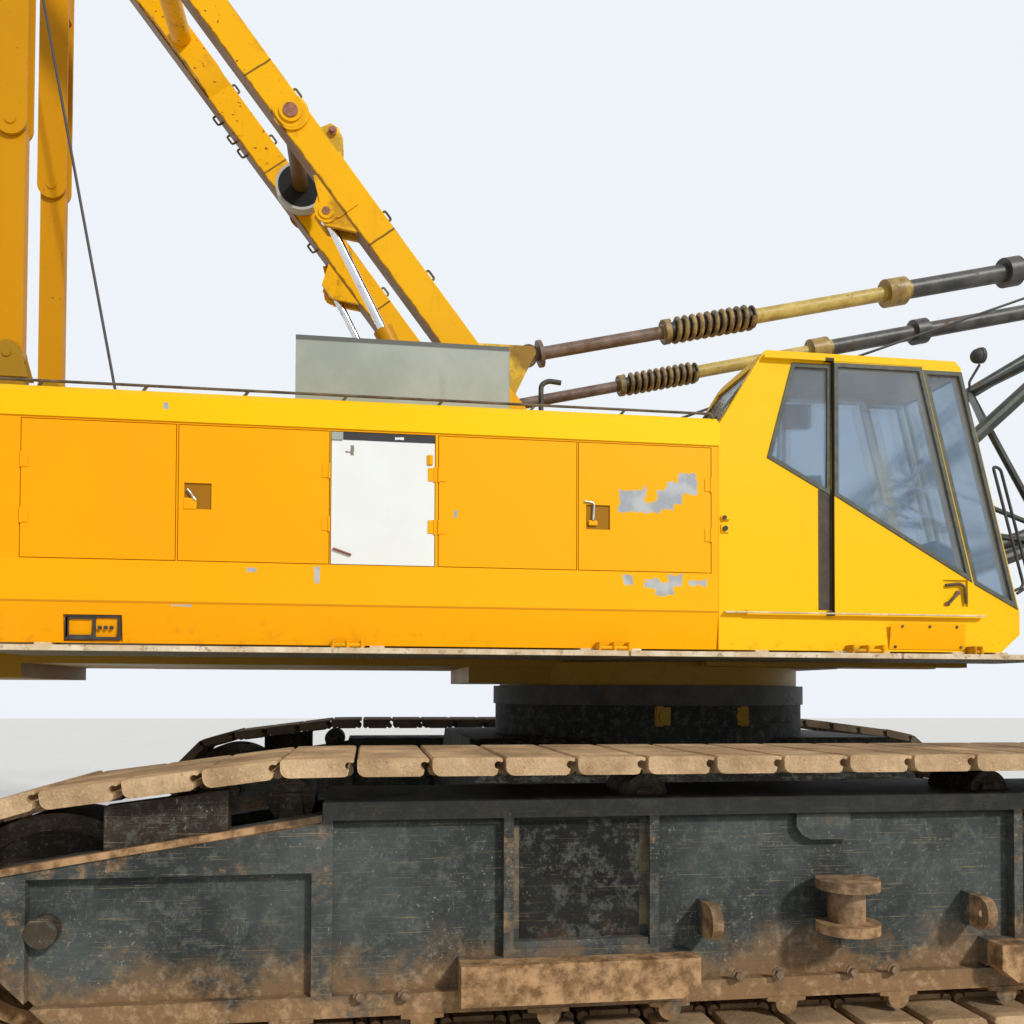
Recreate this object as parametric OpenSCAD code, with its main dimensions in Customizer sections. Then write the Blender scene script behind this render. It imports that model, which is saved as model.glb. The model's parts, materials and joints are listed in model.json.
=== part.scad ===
// Crawler crane with a raised gantry, a lattice boom and a side cab, parked with its boom low.
// X runs forward, Y to the left and Z up. Stations in X are taken from the slewing axis before the final shift.

/* [Tracks] */
// Distance between the axles of the two end wheels of a track
wheel_base = 8700; // [8000:50:9400]
// Radius of the track's outer face round an end wheel
track_r = 720; // [640:10:800]
// Width over both tracks
track_span = 8200; // [7800:50:8600]
// Width of a track shoe
shoe_w = 1220; // [1000:10:1300]
// Pitch of the shoes along the track, before it is rounded to a whole number of shoes
shoe_pitch = 392; // [340:2:440]
// Thickness of a shoe's plate
shoe_t = 62; // [45:1:80]
// Height of the raised lip on a shoe
shoe_lip = 28; // [15:1:36]
// Gap between two shoes
shoe_gap = 26; // [16:1:40]
// Depth of the links that carry the shoes
link_t = 62; // [45:1:75]
// Width of the band of links
link_w = 520; // [420:10:600]
// Height of the top run's level stretch over the ground
top_run_z = 1600; // [1540:5:1680]
// Distance from the slewing axis to the break of the top run
top_run_x = 3130; // [2800:10:3400]

/* [Side frames] */
// Width of a side frame over its flanges
frame_w = 920; // [840:10:960]
// Height of the side frame's top over the ground
frame_top_z = 1355; // [1320:5:1370]
// Height of the side frame's underside over the ground
frame_low_z = 215; // [190:5:260]
// Half the length of the level top
frame_flat_x = 2950; // [2700:10:3000]
// Height of the tapered top at its outer end
frame_tip_z = 1010; // [960:5:1060]
// Thickness of the flanges
flange_t = 95; // [70:1:110]
// Depth of the bays between the flanges and ribs
bay_d = 70; // [50:1:90]
// Width of the ribs between the bays
rib_w = 55; // [40:1:70]
// Radius of the bottom rollers
roller_r = 170; // [150:5:190]
// Pitch of the bottom rollers
roller_pitch = 690; // [640:5:730]
// Radius of the carrier rollers over the frame
carrier_r = 125; // [100:5:140]
// Bore of the lifting lugs on the side frame
lug_bore = 70; // [50:2:90]
// Width over the lifting lug's rounded head
lug_head = 190; // [170:5:220]
// Thickness of the lifting lug
lug_t = 60; // [40:2:80]
// Distance of a lifting lug from the slewing axis
lug_x = 820; // [700:10:950]
// Half-round radius of a bottom roller's end cap under the frame
cap_r = 64; // [50:1:75]
// Distance from the slewing axis to the inner end of a step block
step_x = 905; // [860:5:960]
// Length of a step block
step_len = 1315; // [1100:5:1400]
// Height of a step block
step_h = 215; // [160:5:240]
// How far a step block stands out of the side frame
step_out = 150; // [100:5:190]
// Thickness of the plate along the tapered top
taper_t = 32; // [20:1:40]

/* [Carbody] */
// Distance from the slewing axis to the centre of an axle beam
beam_x = 1535; // [1450:5:1600]
// Width of an axle beam
beam_w = 690; // [600:10:720]
// Depth of an axle beam
beam_h = 690; // [600:10:720]
// Height of the axle beam's underside
beam_low_z = 545; // [520:5:600]
// Radius of the slewing ring
ring_r = 1500; // [1350:10:1600]
// Height of the slewing ring's lower face
ring_z = 1840; // [1780:5:1900]
// Height of the slewing ring
ring_h = 170; // [140:5:200]

/* [Deck and houses] */
// Half the width over the house sides
house_y = 2000; // [1900:10:2100]
// Half the width of the open channel between the houses
channel_y = 1000; // [960:10:1060]
// Rear end of the houses
house_rear_x = -5900; // [-6000:10:-5700]
// Front end of the right house, where the cab begins
house_front_x = 0; // [-20:5:20]
// Height of the lower edge of the skirt
skirt_z = 2290; // [2260:5:2320]
// Height of the crease between skirt and house side
crease_z = 2585; // [2560:5:2620]
// Height of the lower edge of the roof cover
roof_low_z = 3895; // [3860:5:3920]
// Height of the roof cover's crease
roof_crease_z = 4070; // [4040:5:4090]
// Height of the roof's top at the side
roof_z = 4130; // [4110:5:4160]
// Thickness of the panels
panel_t = 40; // [30:1:60]
// Lower edge of the side doors
door_low_z = 2885; // [2860:5:2910]
// Upper edge of the side doors
door_top_z = 3880; // [3840:5:3885]
// Thickness of a side door
leaf_t = 28; // [20:1:34]
// Gap round a side door
leaf_gap = 6; // [5:1:10]
// Width and height of a door's handle recess
handle_w = 190; // [150:5:210]
// Rear end of the recess in the right skirt
recess_x = -4860; // [-4950:10:-4800]
// Length of the recess
recess_len = 400; // [300:10:440]
// Depth of the deck's centre frame
deck_h = 440; // [380:10:480]
// Width of a walkway outside the house
walk_w = 620; // [500:10:700]
// Thickness of a walkway
walk_t = 40; // [30:1:60]
// Length of the counterweight behind the houses
weight_len = 1150; // [1000:10:1300]
// Half the width of the counterweight
weight_y = 2350; // [2200:10:2450]
// Thickness of one counterweight slab
slab_t = 430; // [380:5:450]
// Number of slabs
slab_n = 4; // [3:1:4]
// Distance of the hoist drum before the slewing axis
hoist_x = -2700; // [-2800:10:-2600]
// Distance of the boom hoist drum before the slewing axis
drum_x = -4450; // [-4600:10:-4350]
// Height of the drums' axes
drum_z = 3220; // [3180:5:3300]
// Radius of the hoist drum
hoist_r = 300; // [260:5:320]
// Radius of the boom hoist drum
drum_r = 280; // [240:5:300]
// Half the length of a drum
drum_half = 560; // [520:5:600]
// Rear end of the engine
engine_x = -4000; // [-4300:10:-3900]
// Length of the engine
engine_len = 1500; // [1200:10:1600]
// Height of the engine over the deck
engine_h = 1360; // [1100:10:1400]
// Rear end of the grey box on the roof
roof_box_x = -3300; // [-3400:10:-3250]
// Length of the grey box
roof_box_len = 1710; // [1500:10:1800]
// Distance of the grey box's outer side from the middle plane
roof_box_y = 1500; // [1450:5:1600]
// Width of the grey box
roof_box_w = 420; // [380:5:460]
// Height of the grey box
roof_box_h = 640; // [500:10:700]

/* [Cab] */
// Distance of the cab's outer wall from the middle plane
cab_y = 1955; // [1900:5:1960]
// Distance of the cab's inner wall from the middle plane
cab_in_y = 1020; // [1000:5:1060]
// Height of the cab's roof
cab_top_z = 4700; // [4640:5:4760]
// Length of the cab at its sill
cab_len = 2620; // [2560:5:2680]
// Length of the cab's roof
cab_roof_len = 1700; // [1600:10:1750]
// Thickness of the cab walls
cab_wall = 45; // [35:1:60]
// Thickness of the glass
glass_t = 8; // [6:1:12]
// Thickness of the sliding door
cab_door_t = 36; // [30:1:38]

/* [Gantry] */
// Distance of the gantry's foot behind the slewing axis
gantry_foot_x = -210; // [-300:10:-150]
// Height of the gantry's foot
gantry_foot_z = 2750; // [2720:5:2800]
// Length of the struts between foot and apex
gantry_len = 9100; // [8600:50:9200]
// Rise of the raised struts over the horizontal
gantry_rise = 52.5; // [51:0.5:54]
// Depth of a strut
strut_d = 280; // [240:5:300]
// Width of a strut
strut_w = 200; // [160:5:220]
// Distance of a strut's centre from the middle plane
strut_y = 775; // [760:5:800]
// Radius of the guide sheave on the struts' cross shaft
guide_r = 240; // [200:5:260]
// Distance from the gantry's foot to the cylinder eye along the strut
eye_u = 4400; // [4300:20:4500]
// Distance of the cylinder eye under the strut's centre line
eye_v = 265; // [255:1:280]
// Distance of the cylinder foot behind the slewing axis
ram_foot_x = -1420; // [-1500:10:-1380]
// Radius of a cylinder barrel
barrel_r = 90; // [80:1:95]
// Length of a cylinder barrel
barrel_len = 2600; // [2400:20:2700]
// Radius of a cylinder rod
rod_r = 38; // [30:1:45]
// Height of the pivot of the lower rear links
link_low_z = 4800; // [4760:10:4850]
// Length of a lower rear link
link_low_len = 2000; // [1900:10:2100]
// Distance of a rear link's centre from the middle plane
link_y = 530; // [525:1:535]

/* [Backstops] */
// Distance of the backstop pivot before the slewing axis
stop_x = -1316; // [-1400:4:-1250]
// Height of the backstop pivot
stop_z = 4967; // [4900:5:5050]
// Rise of the backstops over the horizontal
stop_rise = 13; // [12:0.5:14]
// Length of the whole backstop as it lies
stop_len = 7100; // [7000:10:7200]
// Radius of the inner tube
stop_inner_r = 58; // [54:1:60]
// Radius of the middle tube
stop_mid_r = 68; // [66:1:72]
// Radius of the outer tube
stop_outer_r = 86; // [80:1:95]
// Radius over the buffer spring
spring_r = 135; // [120:1:145]
// Distance from the pivot to the near end of the buffer spring
spring_u = 1290; // [1260:5:1320]
// Length of the buffer spring
spring_len = 900; // [800:10:940]

/* [Boom] */
// Distance of the boom's foot pin before the slewing axis
boom_foot_x = 1200; // [1150:10:1300]
// Height of the boom's foot pin
boom_foot_z = 2600; // [2560:5:2650]
// Rise of the boom over the horizontal as it is parked
boom_rise = 31; // [30:0.5:32]
// Length of the butt section
butt_len = 7620; // [7400:20:7700]
// Length of the top section
top_len = 7620; // [7400:20:7700]
// Distance between the chords' centres, in width and in depth
boom_w = 1800; // [1600:20:1900]
// Radius of a chord
chord_r = 70; // [60:1:80]
// Radius of a lacing
lace_r = 32; // [26:1:38]
// Distance between the foot lugs' centres
foot_span = 1300; // [1200:10:1360]
// Radius of the head sheaves
sheave_r = 300; // [280:5:320]
// Length of the pendants
pendant_len = 8400; // [8000:20:8600]
// Distance of a pendant from the middle plane
pendant_y = 600; // [560:5:680]
// Distance of a spreader's cheeks from the middle plane
cheek_y = 400; // [395:1:430]
// Pitch of the spreaders' sheaves
wheel_gap = 150; // [148:1:152]
// Radius of the sheaves on the gantry's spreader
near_wheel_r = 230; // [220:1:240]
// Radius of the sheaves on the pendants' spreader
far_wheel_r = 260; // [245:1:280]
// Radius of the boom hoist rope
rope_r = 11; // [9:0.5:12]
// Radius of the hook block's sheaves
hook_sheave_r = 280; // [260:5:300]
// Distance of the hook block's sheaves under the head sheaves
hook_drop = 2800; // [2700:20:3200]

/* [Hidden] */

yellow = "#f3b20d";
black = "#26241f";
dust = "#8d7458";
steel = "#8b8c88";
green_black = "#232a22";

// Clearances: between a piece and its seat, and round what moves
seat = 0.3;
run = 6;

// The whole crane is shifted so that its box is centred on the origin in plan.
boom_len = butt_len + top_len;
sheave_u = boom_len + 120;
sheave_v = -720;
fall_r = 14;
head_x = boom_foot_x + sheave_u * cos(boom_rise) - sheave_v * sin(boom_rise) + sheave_r + 2 * fall_r + seat;
tail_x = house_rear_x - weight_len;
x_shift = -(head_x + tail_x) / 2;

// Basic helpers
module placed() { translate([x_shift, 0, 0]) children(); }
module box(a, b) { translate(a) cube(b - a); }
// An outline in X and Z, drawn out along Y
module slab_y(pts, y0, y1) {
  translate([0, y1, 0]) rotate([90, 0, 0]) linear_extrude(height = y1 - y0) polygon(pts);
}
// An outline in Y and Z, drawn out along X
module slab_x(pts, x0, x1) {
  translate([x0, 0, 0]) rotate([90, 0, 90]) linear_extrude(height = x1 - x0) polygon(pts);
}
// A round bar between two points
module bar(a, b, r, n = 24) {
  d = b - a;
  l = norm(d);
  translate(a) rotate([0, acos(d.z / l), atan2(d.y, d.x)]) cylinder(r = r, h = l, $fn = n);
}
// A round pin along Y
module pin(x, z, y0, y1, r, n = 48) {
  translate([x, y1, z]) rotate([90, 0, 0]) cylinder(r = r, h = y1 - y0, $fn = n);
}
module both_sides() {
  children();
  mirror([0, 1, 0]) children();
}
// A closed outline moved inwards by d; its points run anticlockwise
function line_cross(p, a, q, b) = p + a * ((q.x - p.x) * b.y - (q.y - p.y) * b.x) / (a.x * b.y - a.y * b.x);
function inset(pts, d) = let (n = len(pts)) [
  for (i = [0 : n - 1])
    let (
      p0 = pts[(i + n - 1) % n], p1 = pts[i], p2 = pts[(i + 1) % n],
      a = (p1 - p0) / norm(p1 - p0), b = (p2 - p1) / norm(p2 - p1)
    )
    line_cross(p0 + d * [-a.y, a.x], a, p1 + d * [-b.y, b.x], b)
];
function turn(p, a) = [p.x * cos(a) - p.y * sin(a), p.x * sin(a) + p.y * cos(a)];

// Track path
// The top run slopes from its break down to the end wheels and meets them on a tangent.
wheel_x = wheel_base / 2;
wheel_z = track_r;
slope_d = norm([wheel_x - top_run_x, top_run_z - wheel_z]);
slope_a = asin(track_r / slope_d) - atan2(top_run_z - wheel_z, wheel_x - top_run_x);
slope_len = sqrt(slope_d * slope_d - track_r * track_r);
slope_down = -slope_a;
// Stretches of the loop, clockwise from the middle of the ground run: length, start, heading, radius
wrap = 180 + slope_a;
arc_len = PI * track_r * wrap / 180;
loop_len = wheel_base + 2 * arc_len + 2 * slope_len + 2 * top_run_x;
shoe_n = round(loop_len / shoe_pitch);
pitch = loop_len / shoe_n;
// Point and heading of the path at distance s from the front end of the ground run
function arc_point(cx, a0, s) = let (a = a0 + s / track_r * 180 / PI)
  [cx + track_r * cos(a), wheel_z + track_r * sin(a), a + 90];
function path_at(s) =
  s < arc_len ? arc_point(wheel_x, -90, s)
  : s < arc_len + slope_len
    ? let (t = s - arc_len, h = wrap)
      [wheel_x + track_r * cos(h - 90) + t * cos(h), wheel_z + track_r * sin(h - 90) + t * sin(h), h]
  : s < arc_len + slope_len + 2 * top_run_x
    ? [top_run_x - (s - arc_len - slope_len), top_run_z, 180]
  : s < arc_len + 2 * slope_len + 2 * top_run_x
    ? let (t = s - arc_len - slope_len - 2 * top_run_x, h = 360 - wrap)
      [-top_run_x + t * cos(h), top_run_z + t * sin(h), h]
  : s < 2 * arc_len + 2 * slope_len + 2 * top_run_x
    ? arc_point(-wheel_x, 270 - wrap, s - arc_len - 2 * slope_len - 2 * top_run_x)
  : [-wheel_x + (s - 2 * arc_len - 2 * slope_len - 2 * top_run_x), 0, 0];
// A point beside the path: s along it and d inwards, which is to its left
function beside(s, d) = let (p = path_at((s + loop_len) % loop_len))
  [p.x - d * sin(p.z), p.y + d * cos(p.z)];

// Tracks
module track() {
  y0 = -track_span / 2;
  ym = y0 + shoe_w / 2;
  body = [
    for (i = [0 : shoe_n - 1]) let (s0 = (i + 0.5) * pitch)
      each [
        beside(s0 - pitch / 2, shoe_t + shoe_lip),
        beside(s0 - pitch / 2 + shoe_gap, shoe_t),
        beside(s0 - pitch / 2 + shoe_gap, 0),
        beside(s0 + pitch / 2 - shoe_gap, 0),
        beside(s0 + pitch / 2 - shoe_gap / 2, shoe_t * 0.6)
      ]
  ];
  inner = [for (i = [0 : shoe_n - 1]) beside(i * pitch, shoe_t + shoe_lip + 10)];
  links = [for (i = [0 : shoe_n - 1]) beside(i * pitch, shoe_t + link_t)];
  difference() {
    union() {
      slab_y(body, y0, y0 + shoe_w);
      slab_y([for (i = [0 : shoe_n - 1]) beside(i * pitch, shoe_t)], ym - link_w / 2, ym + link_w / 2);
    }
    slab_y(inner, y0 - 1, ym - link_w / 2);
    slab_y(inner, ym + link_w / 2, y0 + shoe_w + 1);
    slab_y(links, ym - link_w / 2 - 1, ym + link_w / 2 + 1);
  }
}
module track_right() { color(dust) track(); }
module track_left() { color(dust) mirror([0, 1, 0]) track(); }

// Side frames
frame_y = track_span / 2 - shoe_w / 2;
frame_end_x = wheel_x + 200;
roller_z = shoe_t + link_t + seat + roller_r;
roller_pin_r = 45;
wheel_pin_r = 80;
// Metal left outside the rollers' pins
cover = 60;
socket_in_x = beam_x - beam_w / 2 - 40;
socket_out_x = beam_x + beam_w / 2 + 40;
frame_outline = [
  [-frame_end_x, 480], [-frame_end_x + 260, frame_low_z], [frame_end_x - 260, frame_low_z], [frame_end_x, 480],
  [frame_end_x, frame_tip_z], [frame_flat_x, frame_top_z - flange_t], [frame_flat_x, frame_top_z],
  [-frame_flat_x, frame_top_z], [-frame_flat_x, frame_top_z - flange_t], [-frame_end_x, frame_tip_z]
];
// Bays in the side plate: first and last station, lower and upper height
bays = [
  [-frame_end_x + 120, -frame_flat_x - rib_w, 330, 985],
  [-frame_flat_x + rib_w, -socket_out_x - rib_w, 330, frame_top_z - flange_t],
  [-socket_out_x, -socket_in_x, beam_low_z, frame_top_z - flange_t],
  [-socket_in_x + rib_w, socket_in_x - rib_w, 330, frame_top_z - flange_t],
  [socket_in_x, socket_out_x, beam_low_z, frame_top_z - flange_t],
  [socket_out_x + rib_w, frame_flat_x - rib_w, 330, frame_top_z - flange_t],
  [frame_flat_x + rib_w, frame_end_x - 120, 330, 985]
];
taper_line = [for (x = [frame_flat_x + 2, frame_end_x - 2]) [x, frame_top_at(x)]];
taper_plate = [
  for (p = taper_line) [p.x, p.y - 4],
  for (i = [1, 0]) [taper_line[i].x, taper_line[i].y + taper_t]
];
gusset = [
  [-270, frame_top_z - flange_t + 5], [-270, frame_top_z - flange_t - 80], [-235, frame_top_z - flange_t - 130],
  [-180, frame_top_z - flange_t - 155], [60, frame_top_z - flange_t - 155], [60, frame_top_z - flange_t + 5]
];
module lifting_lug() {
  y0 = -frame_y - frame_w / 2;
  difference() {
    union() {
      translate([0, y0 - 95, 0]) rotate([0, 90, 0]) cylinder(d = lug_head, h = lug_t, center = true, $fn = 48);
      box([-lug_t / 2, y0 - 95, -lug_head / 2], [lug_t / 2, y0 + bay_d + 5, lug_head / 2]);
    }
    translate([0, y0 - 95, 0]) rotate([0, 90, 0])
      cylinder(d = lug_bore, h = 2 * lug_t, center = true, $fn = 48);
  }
}
step_z = frame_low_z + 70;
function cap_outline(x) = [
  [x - 115, frame_low_z + 5], [x - 115, frame_low_z - 18], [x - cap_r, frame_low_z - 22],
  for (a = [190 : 20 : 350]) [x + cap_r * cos(a), frame_low_z - 32 + cap_r * sin(a)],
  [x + cap_r, frame_low_z - 22], [x + 115, frame_low_z - 18], [x + 115, frame_low_z + 5]
];
module side_frame() {
  yo = -frame_y - frame_w / 2;
  yi = -frame_y + frame_w / 2;
  difference() {
    slab_y(frame_outline, yo, yi);
    for (b = bays) {
      box([b[0], yo - 1, b[2]], [b[1], yo + bay_d, b[3]]);
      box([b[0], yi - bay_d, b[2]], [b[1], yi + 1, b[3]]);
    }
    for (s = [-1, 1]) {
      box([s > 0 ? frame_flat_x + 300 : -frame_end_x - 1, -frame_y - 300, 0],
          [s > 0 ? frame_end_x + 1 : -frame_flat_x - 300, -frame_y + 300, 1500]);
      box([s * beam_x - beam_w / 2 - seat, yo - 1, beam_low_z - seat],
          [s * beam_x + beam_w / 2 + seat, yi + 1, beam_low_z + beam_h + seat]);
      pin(s * wheel_x, wheel_z, yo - 1, yi + 1, wheel_pin_r);
    }
    for (c = carriers) {
      box([c[0] - carrier_r - 15, -frame_y - 232, carrier_z(c) - carrier_r - 15],
          [c[0] + carrier_r + 15, -frame_y + 232, frame_top_z + 1]);
      box([c[0] - 35, -frame_y - 256, carrier_z(c) - 35], [c[0] + 35, -frame_y + 256, frame_top_z + 1]);
    }
    for (i = [-4.5 : 1 : 4.5]) {
      pin(i * roller_pitch, roller_z, yo + cover, yi - cover, roller_pin_r);
      box([i * roller_pitch - roller_r - 15, -frame_y - 250, 0],
          [i * roller_pitch + roller_r + 15, -frame_y + 250, roller_z + roller_r + 20]);
    }
  }
  for (s = [-1, 1]) {
    translate([s * lug_x, 0, 680]) lifting_lug();
    scale([s, 1, 1]) {
      // Step block with a chamfered end, and the shelf under the beam's end
      slab_y([[step_x, step_z + 75], [step_x + 100, step_z], [step_x + step_len, step_z],
              [step_x + step_len, step_z + step_h], [step_x, step_z + step_h]],
        yo - step_out, yo + cover - 10);
      box([step_x, yo, step_z + 60], [step_x + step_len, yo + bay_d + 5, step_z + step_h]);
      box([socket_in_x - 5, yo + 12, beam_low_z - 10], [socket_out_x + 5, yo + bay_d - seat, beam_low_z + 36]);
      // Plate along the tapered top, standing out past the side
      slab_y(taper_plate, yo - 16, -frame_y - 310);
      slab_y(taper_plate, -frame_y + 310, yi + 16);
    }
  }
  // Hooked gusset under the top flange
  slab_y(gusset, yo + 14, yo + bay_d + 5);
  // End caps of the bottom rollers, hung under the frame by their ears
  for (i = [-4.5 : 1 : 4.5], y = [yo - 6, yi - 40]) slab_y(cap_outline(i * roller_pitch), y, y + 46);
  // Bollard for the assembly jack's rope
  for (z = [610, 850]) translate([-35, yo - 130, z]) cylinder(r = 175, h = 55, $fn = 48);
  translate([-35, yo - 130, 610]) cylinder(r = 95, h = 290, $fn = 48);
  box([-100, yo - 130, 620], [30, yo + bay_d + 5, 880]);
}
module side_frame_right() { color(black) side_frame(); }
module side_frame_left() { color(black) mirror([0, 1, 0]) side_frame(); }

// Rollers and wheels inside a side frame
// Carrier rollers: station, drop under the level run where the track bends
carriers = [[-top_run_x, 9], [-1100, 0], [1100, 0], [top_run_x, 9]];
function carrier_z(c) = top_run_z - shoe_t - link_t - carrier_r - seat - c[1];
// Height of the side frame's top face at a station
function frame_top_at(x) = abs(x) <= frame_flat_x ? frame_top_z
  : frame_top_z - flange_t
    + (frame_tip_z - frame_top_z + flange_t) * (abs(x) - frame_flat_x) / (frame_end_x - frame_flat_x);
module roller_set() {
  yo = -frame_y - frame_w / 2;
  yi = -frame_y + frame_w / 2;
  for (i = [-4.5 : 1 : 4.5]) {
    pin(i * roller_pitch, roller_z, -frame_y - 235, -frame_y + 235, roller_r);
    pin(i * roller_pitch, roller_z, yo + cover + seat, yi - cover - seat, roller_pin_r - seat);
  }
  for (c = carriers) {
    x = c[0];
    z = carrier_z(c);
    pin(x, z, -frame_y - 225, -frame_y + 225, carrier_r);
    pin(x, z, -frame_y - 250, -frame_y + 250, 30);
    for (y = [-250, 235])
      slab_y([[x - 70, frame_top_at(x - 70) + seat], [x + 70, frame_top_at(x + 70) + seat],
              [x + 50, z + 45], [x - 50, z + 45]], -frame_y + y, -frame_y + y + 15);
  }
}
// Guide block under the sloping top run, 8 mm clear of the links
guide_x = [top_run_x + 310, top_run_x + 930];
function run_low(x) = top_run_z - (x - top_run_x) * tan(slope_down) - (shoe_t + link_t + 8) / cos(slope_down);
module guide_block() {
  low = taper_t + seat;
  slab_y([[guide_x[0], frame_top_at(guide_x[0]) + low], [guide_x[1], frame_top_at(guide_x[1]) + low],
          [guide_x[1], run_low(guide_x[1])], [guide_x[0], run_low(guide_x[0])]],
    -frame_y - frame_w / 2 + 20, -frame_y - 312);
}
module track_rollers() {
  color("#2f2b26") both_sides() {
    roller_set();
    guide_block();
    mirror([1, 0, 0]) guide_block();
  }
}
// The link band is made of flats, so the wheel touches the middle of each.
wheel_r = (track_r - shoe_t - link_t) * cos(pitch / track_r * 90 / PI) - seat;
module end_wheel(x, toothed) {
  difference() {
    pin(x, wheel_z, -frame_y - 230, -frame_y + 230, wheel_r, 96);
    for (y = [-231, 111]) pin(x, wheel_z, -frame_y + y, -frame_y + y + 120, wheel_r - 90, 96);
  }
  pin(x, wheel_z, -frame_y - 290, -frame_y + 290, toothed ? 230 : 150);
  pin(x, wheel_z, -frame_y - frame_w / 2 - 20, -frame_y + frame_w / 2 + 20, wheel_pin_r - seat);
}
module drive_wheels() { color("#2f2b26") both_sides() end_wheel(-wheel_x, true); }
module idler_wheels() { color("#2f2b26") both_sides() end_wheel(wheel_x, false); }

// Carbody and slewing ring
module carbody() {
  color(black) {
    difference() {
      union() {
        slab_x([[-1750, 560], [1750, 560], [1750, 1180], [1250, 1560], [-1250, 1560], [-1750, 1180]],
          -beam_x - beam_w / 2, beam_x + beam_w / 2);
        for (s = [-1, 1])
          box([s * beam_x - beam_w / 2, -frame_y - frame_w / 2 + bay_d, beam_low_z],
              [s * beam_x + beam_w / 2, frame_y + frame_w / 2 - bay_d, beam_low_z + beam_h]);
        translate([0, 0, 1500]) cylinder(r = ring_r - 20, h = ring_z - 1500, $fn = 96);
      }
      translate([0, 0, 400]) cylinder(r = 450, h = 2000, $fn = 96);
    }
  }
}
module slew_ring() {
  color("#4a4741") difference() {
    translate([0, 0, ring_z + seat]) cylinder(r = ring_r, h = ring_h - seat, $fn = 96);
    translate([0, 0, ring_z - 1]) cylinder(r = ring_r - 200, h = ring_h + 2, $fn = 96);
  }
}

// Deck and houses
deck_z = skirt_z + 50;
deck_low_z = ring_z + ring_h + seat;
deck_base_z = skirt_z - 120;
floor_z = deck_base_z + deck_h;
frame_half = channel_y - 60;
skirt_in = 45;
skirt_t = 45;
left_front_x = house_front_x + 900;
gantry_a = 180 - gantry_rise;
weight_z = skirt_z - 100;
// Pins of the gantry's feet, of its cylinders and rear links, and of the boom's feet
gantry_pin_r = 70;
small_pin_r = 35;
boom_pin_r = 55;
// Two ears with a pin between them; gap is the room between the ears
module ear_pair(x, z, r, low, y, gap, t, pin_r) {
  for (s = [-1, 1]) {
    ya = y + s * (gap / 2 + t / 2) - t / 2;
    slab_y([[x - r * 1.5, low], [x + r * 1.5, low], [x + r, z], [x - r, z]], ya, ya + t);
    pin(x, z, ya, ya + t, r);
  }
  pin(x, z, y - gap / 2 - t - 12, y + gap / 2 + t + 12, pin_r - seat);
}
module deck_plate(front_x) {
  box([house_rear_x, -house_y + skirt_in + skirt_t + seat, skirt_z + 4], [front_x, -frame_half + 5, deck_z]);
}
module cab_beams() {
  for (x = [cab_x + 80, cab_x + 1280])
    box([x, -cab_y + 265, deck_base_z], [x + 160, -frame_half + 5, skirt_z - seat]);
  for (y = [-cab_y + 265, -cab_in_y - 220])
    box([cab_x, y, deck_base_z], [cab_front_x - 300, y + 140, skirt_z - seat]);
}
module drum_stand(x) {
  difference() {
    slab_y([[x - 420, floor_z - 10], [x + 420, floor_z - 10], [x + 160, drum_z + 160], [x - 160, drum_z + 160]],
      drum_half + 10, drum_half + 60);
    pin(x, drum_z, drum_half, drum_half + 70, drum_pin_r);
  }
}
module deck_frame() {
  color(yellow) {
    difference() {
      union() {
        box([deck_rear_x, -frame_half, deck_base_z], [boom_foot_x - 200, frame_half, floor_z]);
        box([boom_foot_x - 250, -frame_half, deck_base_z], [boom_foot_x + 350, frame_half, floor_z - 190]);
        translate([0, 0, deck_low_z]) cylinder(r = ring_r - 60, h = 200, $fn = 96);
        box([-ring_r - 350, -frame_half + 40, deck_low_z + 20], [ring_r - 600, frame_half - 40, skirt_z]);
        deck_plate(house_front_x);
        mirror([0, 1, 0]) deck_plate(left_front_x);
        // Tray of the counterweight
        box([tail_x + 150, -frame_half + 40, weight_z - 140],
            [house_rear_x + 400, frame_half - 40, weight_z - seat]);
        cab_beams();
      }
      // Slots for the strut feet
      for (s = [-1, 1])
        box([gantry_foot_x - 190, s * strut_y - strut_w / 2 - 12, gantry_foot_z - 175],
            [gantry_foot_x + 190, s * strut_y + strut_w / 2 + 12, gantry_foot_z + 400]);
    }
    for (s = [-1, 1]) {
      ear_pair(gantry_foot_x, gantry_foot_z, 130, floor_z - 20, s * strut_y, strut_w + 24, 50, gantry_pin_r);
      ear_pair(ram_foot_x, ram_foot.y, 100, floor_z - 20, s * strut_y, 144, 35, small_pin_r);
      ear_pair(boom_foot_x, boom_foot_z, 120, floor_z - 200, s * foot_span / 2, 150, 50, boom_pin_r);
      // Posts of the rear links
      slab_y([[link_x - 200, floor_z - 20], [link_x + 200, floor_z - 20], [link_x + 130, link_low_z - 180],
              [link_x - 130, link_low_z - 180]], s * link_y - 65, s * link_y + 65);
      ear_pair(link_x, link_low_z, 110, link_low_z - 200, s * link_y, 112, 30, small_pin_r);
    }
    both_sides() {
      drum_stand(drum_x);
      drum_stand(hoist_x);
    }
  }
}
link_x = gantry_foot_x + gantry_len * cos(gantry_a);
// The centre frame reaches behind the posts of the rear links
deck_rear_x = min(house_rear_x, link_x - 150) - 100;
drum_pin_r = 60;
module drum(x, r) {
  pin(x, drum_z, -drum_half, drum_half, r);
  for (y = [-drum_half, drum_half - 30]) pin(x, drum_z, y, y + 30, r + 140, 64);
  pin(x, drum_z, -drum_half - 80, drum_half + 80, drum_pin_r - seat);
}
module hoist_drum() { color("#4a4741") drum(hoist_x, hoist_r); }
module boom_hoist_drum() { color("#4a4741") drum(drum_x, drum_r); }

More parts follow.
